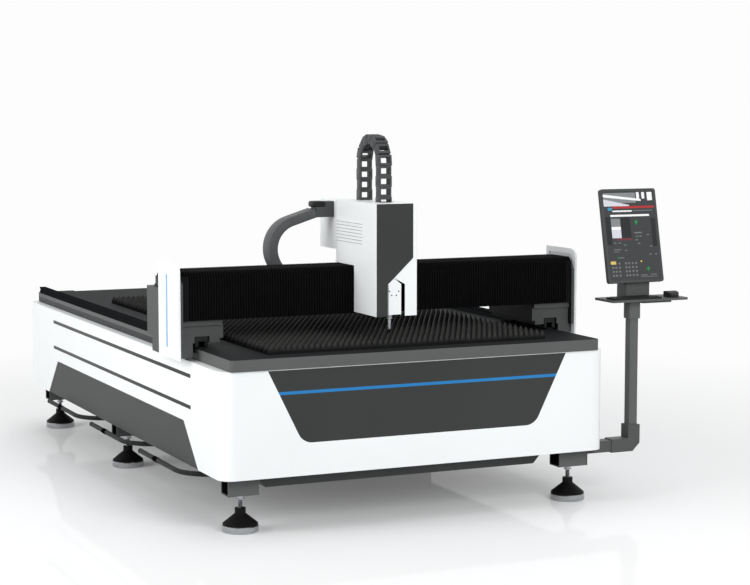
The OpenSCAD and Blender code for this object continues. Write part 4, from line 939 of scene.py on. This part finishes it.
NOZZLE_RINGS = (
    (20, 1000), (20, 987), (19, 985), (19, 977), (17.5, 975), (12, 973), (10, 946), (10.6, 945),
    (10.6, 941), (8.5, 939), (8.5, 931), (9.8, 930), (9.8, 922), (7, 917), (4, 904), (3, 902),
)
nozzle_low, nozzle_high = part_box("nozzle")
nozzle = turned("nozzle_rings", (nozzle_low + nozzle_high) / 2, NOZZLE_RINGS)
dress(nozzle, turned_steel, "cutter")
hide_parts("nozzle")

# %% [markdown]
# Four small screws hold the cutting head's front cover. A short cylinder with a rounded rim is
# enough for a head of seven millimetres.

# %% Cover screws
SCREW_PLACES = ((-102, 1116), (-52, 1115), (-90, 1096), (-65, 1095))
cover_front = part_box("cutting_head")[0].y
screws = [
    peg((at(x, 0, 0).x, cover_front - 0.4 * MM, z * MM), 3.6 * MM, 1.6 * MM)
    for x, z in SCREW_PLACES
]
screws = soften(join("cover_screws", screws), 0.5 * MM)
dress(screws, oiled_steel, "cutter")

# %% [markdown]
# The levelling feet stand on threaded studs. A thread is drawn as close rings round the stud, which
# is what it looks like from any distance. A washer lies under the bracket's nut.

# %% Stud threads
STUD_RADIUS, NUT_HEIGHT, THREAD_PITCH = 10 * MM, 18 * MM, 2.5 * MM
CREST_RADIUS, ROOT_RADIUS, WASHER_RADIUS, WASHER_SHEET = 11, 10.1, 21, 3
stud_low, stud_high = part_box("foot_studs")
feet = [
    Vector((x, y, 0))
    for x in (stud_low.x + STUD_RADIUS, stud_high.x - STUD_RADIUS)
    for y in (stud_low.y + STUD_RADIUS, at(0, 1937, 0).y, stud_high.y - STUD_RADIUS)
]
cone_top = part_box("foot_cones")[1].z
bracket_low, bracket_high = [corner.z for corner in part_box("foot_brackets")]
ring_count = int((bracket_low - NUT_HEIGHT - cone_top) / THREAD_PITCH)
rings = [
    (ROOT_RADIUS if i % 2 else CREST_RADIUS, (cone_top + i * THREAD_PITCH / 2) / MM)
    for i in range(2 * ring_count)
]
washer_top = (bracket_low - NUT_HEIGHT) / MM
washer_rings = ((WASHER_RADIUS, washer_top), (WASHER_RADIUS, washer_top - WASHER_SHEET))
threads = [turned("thread", foot, rings, 24) for foot in feet]
washers = [turned("washer", foot, washer_rings, 32) for foot in feet]
dress(join("stud_threads", threads), turned_steel, "bed")
dress(join("foot_washers", washers), zinc_steel, "bed")

# %% [markdown]
# The foot brackets are short square tubes with open ends. A matt black block in each end is painted
# shade inside the tube: a thin block with rounded edges, as large as the opening, so that the
# tube's wall shows round it.

# %% Tube plugs
TUBE_END, SHADE_SHEET, SHADE_WIDTH, TUBE_WALL = 74 * MM, 4 * MM, 86 * MM, 7 * MM
tube_end_shades = []
for foot in feet:
    for x in (foot.x - TUBE_END, foot.x + TUBE_END):
        low = Vector((x - SHADE_SHEET / 2, foot.y - SHADE_WIDTH / 2, bracket_low + TUBE_WALL))
        high = Vector((x + SHADE_SHEET / 2, foot.y + SHADE_WIDTH / 2, bracket_high - TUBE_WALL))
        tube_end_shades.append(start_block("plug", low, high))
tube_end_shades = soften(join("tube_end_shade", tube_end_shades), 1 * MM)
# Painted shade: matt black blocks in the open tube ends.
dress(tube_end_shades, matt_black, "bed")

# %% [markdown]
# Two long strips of graphite trim are set into each side of the casing, and each gantry cover has
# an upright light blue strip. Both stand a hair proud of the white sheet. As pieces of their own
# they keep a crisp edge from any side, which a pattern in the white paint would not.

# %% Trim strips
SIDE_FACE, TRIM_FRONT, TRIM_REAR, TRIM_HALF = 1040, 437, 2969, 9.5
COVER_FACE, BAND_FRONT, BAND_REAR, BAND_LOW, BAND_HIGH = 1105.6, 579, 601, 846, 1204
PROUD = 1
strips = [
    start_block(
        "strip", at(x - PROUD, TRIM_FRONT, z - TRIM_HALF), at(x + PROUD, TRIM_REAR, z + TRIM_HALF),
    )
    for x in (-SIDE_FACE, SIDE_FACE) for z in (561, 715)
]
strips = soften(join("trim_strips", strips), 0.6 * MM)
dress(strips, graphite_coat, "bed")
bands = [
    start_block("band", at(x - PROUD, BAND_FRONT, BAND_LOW), at(x + PROUD, BAND_REAR, BAND_HIGH))
    for x in (-COVER_FACE, COVER_FACE)
]
bands = soften(join("cover_bands", bands), 0.6 * MM)
dress(bands, pale_blue_coat, "gantry")

# %% [markdown]
# Under the deck rim, a narrow white strip of the casing's upper edge shows above the dark panel. It
# is a long block, a few millimetres proud of the casing, whose rounded edge catches the light.

# %% Panel strip
panel_strip = start_block("panel_strip", at(-808, -4, 782.8), at(808, 2, 787))
dress(soften(panel_strip, 0.8 * MM), white_coat, "bed")

# %% [markdown]
# Each drawer's pull bar has a black rubber sleeve near its end, and a plug in the open end of the
# tube. Both are short cylinders, a little wider than the bar, with rounded rims.

# %% Pull bar sleeves
BAR_ENDS, BAR_RADIUS, BAR_HEIGHT = (1082, 1983.5, 2885), 12.5, 244
SLEEVE, END_PLUG = (-264, 60, 14.2), (-1.5, 9, 13.2)  # middle from the bar's end, length, radius
for i, bar_end in enumerate(BAR_ENDS, 1):
    bar_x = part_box(f"slag_drawer_{i}")[0].x + BAR_RADIUS * MM
    pieces = [
        peg((bar_x, at(0, bar_end + middle, 0).y, BAR_HEIGHT * MM), radius * MM, length * MM, 32)
        for middle, length, radius in (SLEEVE, END_PLUG)
    ]
    sleeve = soften(join(f"bar_sleeves_{i}", pieces), 1.5 * MM, 3)
    dress(sleeve, matt_black, f"drawer_{i}")

# %% [markdown]
# Each bearing block has a black seal on both ends, and screws hold the drive motors. The seals are
# thin blocks past the ends of the steel, and the screws are short cylinders that stand at the four
# corners of a motor.

# %% Bearing seals and motor screws
RAIL_X, SEAL_HALF, SEAL_SHEET, SEAL_LOW, SEAL_HIGH = 972, 33, 3, 851, 904
MOTOR_HALF, BOLT_REACH = 47 * MM, 40 * MM
seals = [
    start_block(
        "seal", at(x - SEAL_HALF, y, SEAL_LOW), at(x + SEAL_HALF, y + SEAL_SHEET, SEAL_HIGH),
    )
    for x in (-RAIL_X, RAIL_X) for y in (462, 575, 817, 930)
]
seals = soften(join("bearing_seals", seals), 1 * MM)
dress(seals, black_plastic, "gantry")
motor_low, motor_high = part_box("y_motors")
motor_y, bolt_z = (motor_low.y + motor_high.y) / 2, motor_low.z + 11 * MM
bolts = [
    peg((x + dx, motor_y + dy, bolt_z), 4.5 * MM, 6 * MM, 20, lying=False)
    for x in (motor_low.x + MOTOR_HALF, motor_high.x - MOTOR_HALF)
    for dx in (-BOLT_REACH, BOLT_REACH) for dy in (-BOLT_REACH, BOLT_REACH)
]
bolts = soften(join("motor_screws", bolts), 0.6 * MM)
dress(bolts, oiled_steel, "gantry")

# %% [markdown]
# The exhaust spigot has a rolled bead near its mouth, which keeps a hose from slipping off. A torus
# round the sheet has the same round back.

# %% Exhaust bead
BEAD_RADIUS, BEAD_WIRE, BEAD_BACK = 100 * MM, 3.5 * MM, 14 * MM
spigot_low, spigot_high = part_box("exhaust_spigot")
middle = (spigot_low + spigot_high) / 2
deselect_all()
bpy.ops.mesh.primitive_torus_add(
    major_radius=BEAD_RADIUS, minor_radius=BEAD_WIRE, major_segments=64, minor_segments=12,
    rotation=(math.pi / 2, 0, 0), location=(middle.x, spigot_high.y - BEAD_BACK, middle.z),
)
bead = settle(bpy.context.object)
bead.name = "spigot_bead"
bpy.ops.object.shade_smooth()
dress(bead, zinc_steel, "bed")

# %% [markdown]
# The monitor stands upright and shows a machine panel. The picture is made of plain fields of
# colour that lie a hair in front of the glass: a pale title picture, coloured bars, a work window
# and rows of keys. A field is a plane, given by its share of the glass, across from the left and
# down from the top. Its colour has the even gloss of the glass in front of a display.

# %% Screen
SCREEN_WIDTH, SCREEN_HEIGHT, BEZEL = 306, 464, 14
GLASS_DEPTH, LAYER = 0.9, 0.2
SCREEN_LEAN = math.radians(12)
SCREEN_UP = Vector((0, math.sin(SCREEN_LEAN), math.cos(SCREEN_LEAN)))
SCREEN_IN = Vector((0, math.cos(SCREEN_LEAN), -math.sin(SCREEN_LEAN)))
screen_foot = at(1288, 110, 1110)


def screen_ink(name, code):
    made, tree, _ = new_finish(name)
    close(tree, lin(code), Roughness=0.3, Specular_IOR_Level=0.2)
    return made


def field(left, top, right, bottom, layer=1, sink=0.0, shrink=1.0):
    """One field. Its right end may sink by a share of the height, and shrink."""
    across = ((left + right) / 2 - 0.5) * SCREEN_WIDTH
    up = BEZEL + (1 - (top + bottom) / 2) * SCREEN_HEIGHT
    depth = GLASS_DEPTH - layer * LAYER
    middle = screen_foot + (Vector((across, 0, 0)) + up * SCREEN_UP + depth * SCREEN_IN) * MM
    piece = start_plane(
        "field", middle, (math.pi / 2 - SCREEN_LEAN, 0, 0),
        (right - left) * SCREEN_WIDTH * MM, (bottom - top) * SCREEN_HEIGHT * MM,
    )
    if sink or shrink != 1.0:
        pick(piece, "VERT", lambda co: co.x > middle.x)
        bpy.ops.transform.resize(value=(1, shrink, shrink), center_override=middle)
        bpy.ops.transform.translate(value=-sink * SCREEN_HEIGHT * MM * SCREEN_UP)
        close_edit()
    return piece


def small_marks(places, width, height):
    """Small fields of one size at a list of places."""
    return [field(u, v, u + width, v + height, 2) for u, v in places]


key_places = [
    (u, v) for v in (0.8, 0.845, 0.89, 0.935) for u in (0.05, 0.11, 0.18, 0.31, 0.37, 0.44, 0.51)
]
screen = {
    ("screen_glass", "#3F4143"): [field(0, 0, 1, 1, 0)],
    ("screen_mid_grey", "#85888A"): [
        field(0.01, 0.015, 0.64, 0.13), field(0.112, 0.305, 0.294, 0.4),
        field(0.56, 0.216, 0.95, 0.222),
    ],
    ("screen_pale", "#D3D4DC"): [
        field(0, 0.085, 0.5, 0.165, 2, 0.035, 0.15), field(0.112, 0.43, 0.294, 0.525),
    ],
    ("screen_white", "#F2F3F3"): [
        field(0, 0.03, 0.74, 0.062, 3, 0.055, 0.7), field(0.11, 0.262, 0.88, 0.284),
        field(0.16, 0.214, 0.54, 0.23), field(0.112, 0.398, 0.294, 0.432, 2),
        field(0.66, 0.012, 0.715, 0.085, 2), field(0.765, 0.012, 0.82, 0.085, 2),
        field(0.87, 0.012, 0.97, 0.105, 2),
    ],
    ("screen_dark", "#2B2D2E"): [
        field(0.294, 0.295, 0.49, 0.525), field(0.9, 0.31, 0.985, 0.63), field(0, 0.285, 0.1, 0.6),
    ],
    ("screen_red", "#AE3739"): [field(0.16, 0.167, 0.99, 0.192, 2)],
    ("screen_dull_red", "#6F3A40"): [field(0.19, 0.528, 0.5, 0.55)],
    ("screen_cyan", "#3E93B0"): [field(0.07, 0.18, 0.155, 0.214, 3)],
    ("screen_green", "#2F8F49"): [
        field(0.575, 0.342, 0.637, 0.36), field(0.594, 0.325, 0.618, 0.377, 2),
        field(0.73, 0.872, 0.795, 0.886), field(0.752, 0.855, 0.773, 0.905, 2),
        field(0.17, 0.742, 0.205, 0.753),
    ],
    ("screen_yellow", "#D7C06C"): [
        field(0.03, 0.785, 0.13, 0.82, 3), field(0.62, 0.785, 0.65, 0.803),
    ],
    ("screen_key_grey", "#727476"): small_marks(key_places, 0.036, 0.022) + [
        field(0.55, 0.462, 0.7, 0.478), field(0.21, 0.742, 0.3, 0.753),
        field(0.6, 0.945, 0.74, 0.955), field(0.8, 0.94, 0.92, 0.95),
        field(0.6, 0.965, 0.93, 0.972), field(0.12, 0.65, 0.26, 0.66),
        field(0.12, 0.675, 0.22, 0.683),
    ] + small_marks(
        ((0.57, 0.505), (0.64, 0.505), (0.79, 0.49), (0.56, 0.545), (0.6, 0.585), (0.83, 0.62),
         (0.81, 0.712), (0.92, 0.712), (0.13, 0.575), (0.22, 0.575), (0.32, 0.6), (0.33, 0.66)),
        0.05, 0.012,
    ),
}
for (name, code), fields in screen.items():
    dress(join(name, fields), screen_ink(name, code), "console")
print("screen:", sum(len(fields) for fields in screen.values()), "fields")

# %% [markdown]
# The studio: a pale, polished floor that keeps the machine's shadow and a soft reflection, and a
# white surround. The floor fades to the white of the surround far from the machine, so that no
# horizon shows. Large soft lamps stand in front, to the left, above, and behind to the right.

# %% Floor and surround
def seen_rays(tree):
    """1 for rays that show a surface to the camera, straight or mirrored, and 0 for the rest."""
    ray = add(tree, "LightPath").outputs
    direct = add(tree, "Math", {
        0: ray["Is Camera Ray"], 1: ray["Is Glossy Ray"],
    }, operation="MAXIMUM").outputs["Value"]
    return add(tree, "Math", {
        0: direct, 1: ray["Is Transmission Ray"],
    }, operation="MAXIMUM").outputs["Value"]


def studio_floor():
    made, tree, place = new_finish("polished_floor")
    flat = add(tree, "VectorMath", {0: place, 1: (1, 1, 0)}, operation="MULTIPLY").outputs["Vector"]
    distance = add(tree, "VectorMath", {0: flat}, operation="LENGTH").outputs["Value"]
    fade = add(tree, "MapRange", {
        "Value": distance, "From Min": 1.9, "From Max": 5.2, "To Min": 0.12,
    }).outputs["Result"]
    seen = seen_rays(tree)
    share = add(tree, "Math", {0: fade, 1: seen}, operation="MULTIPLY").outputs["Value"]
    paint = add(tree, "Mix", {
        "Factor": seen, MIX_A: lin("#BFC0C1"), MIX_B: lin("#F4F5F6"),
    }, data_type="RGBA")
    matt = add(tree, "BsdfDiffuse", {"Color": paint.outputs[MIX_OUT]})
    mirror = add(tree, "BsdfGlossy", {"Color": lin("#FFFFFF"), "Roughness": 0.05})
    ground = add(tree, "MixShader", {0: 0.1, 1: matt.outputs["BSDF"], 2: mirror.outputs["BSDF"]})
    white = add(tree, "Emission", {"Color": lin("#FDFDFD"), "Strength": 1.0})
    mix = add(tree, "MixShader", {
        0: share, 1: ground.outputs["Shader"], 2: white.outputs["Emission"],
    })
    add(tree, "OutputMaterial", {"Surface": mix.outputs["Shader"]})
    return made


deselect_all()
bpy.ops.mesh.primitive_plane_add(size=120)
floor = bpy.context.object
floor.name = "floor"
floor.data.materials.append(studio_floor())

world = bpy.data.worlds.new("studio")
bpy.context.scene.world = world
world.use_nodes = True
sky = world.node_tree
sky.nodes.clear()
shown = add(sky, "Background", {"Color": lin("#FDFDFD"), "Strength": 1.0})
light = add(sky, "Background", {"Color": lin("#FFFFFF"), "Strength": 0.47})
both = add(sky, "MixShader", {
    0: seen_rays(sky), 1: light.outputs["Background"], 2: shown.outputs["Background"],
})
add(sky, "OutputWorld", {"Surface": both.outputs["Shader"]})

# %% Lamps
def soft_lamp(name, place, target, size, power):
    data = bpy.data.lights.new(name, "AREA")
    data.shape = "DISK"
    data.size = size
    data.energy = power
    made = bpy.data.objects.new(name, data)
    made.location = place
    made.rotation_euler = (target - place).to_track_quat("-Z", "Y").to_euler()
    made.visible_glossy = False
    bpy.context.scene.collection.objects.link(made)
    print(name, "with", power, "watts")


MIDDLE = at(0, 1400, 800)
soft_lamp("front_lamp", at(900, -7000, 4200), MIDDLE, 5.0, 365)
soft_lamp("left_lamp", at(-8500, 500, 3600), MIDDLE, 6.0, 450)
soft_lamp("top_lamp", at(500, 2000, 7500), MIDDLE, 6.0, 100)
soft_lamp("rear_lamp", at(7000, 8500, 4200), MIDDLE, 6.0, 230)
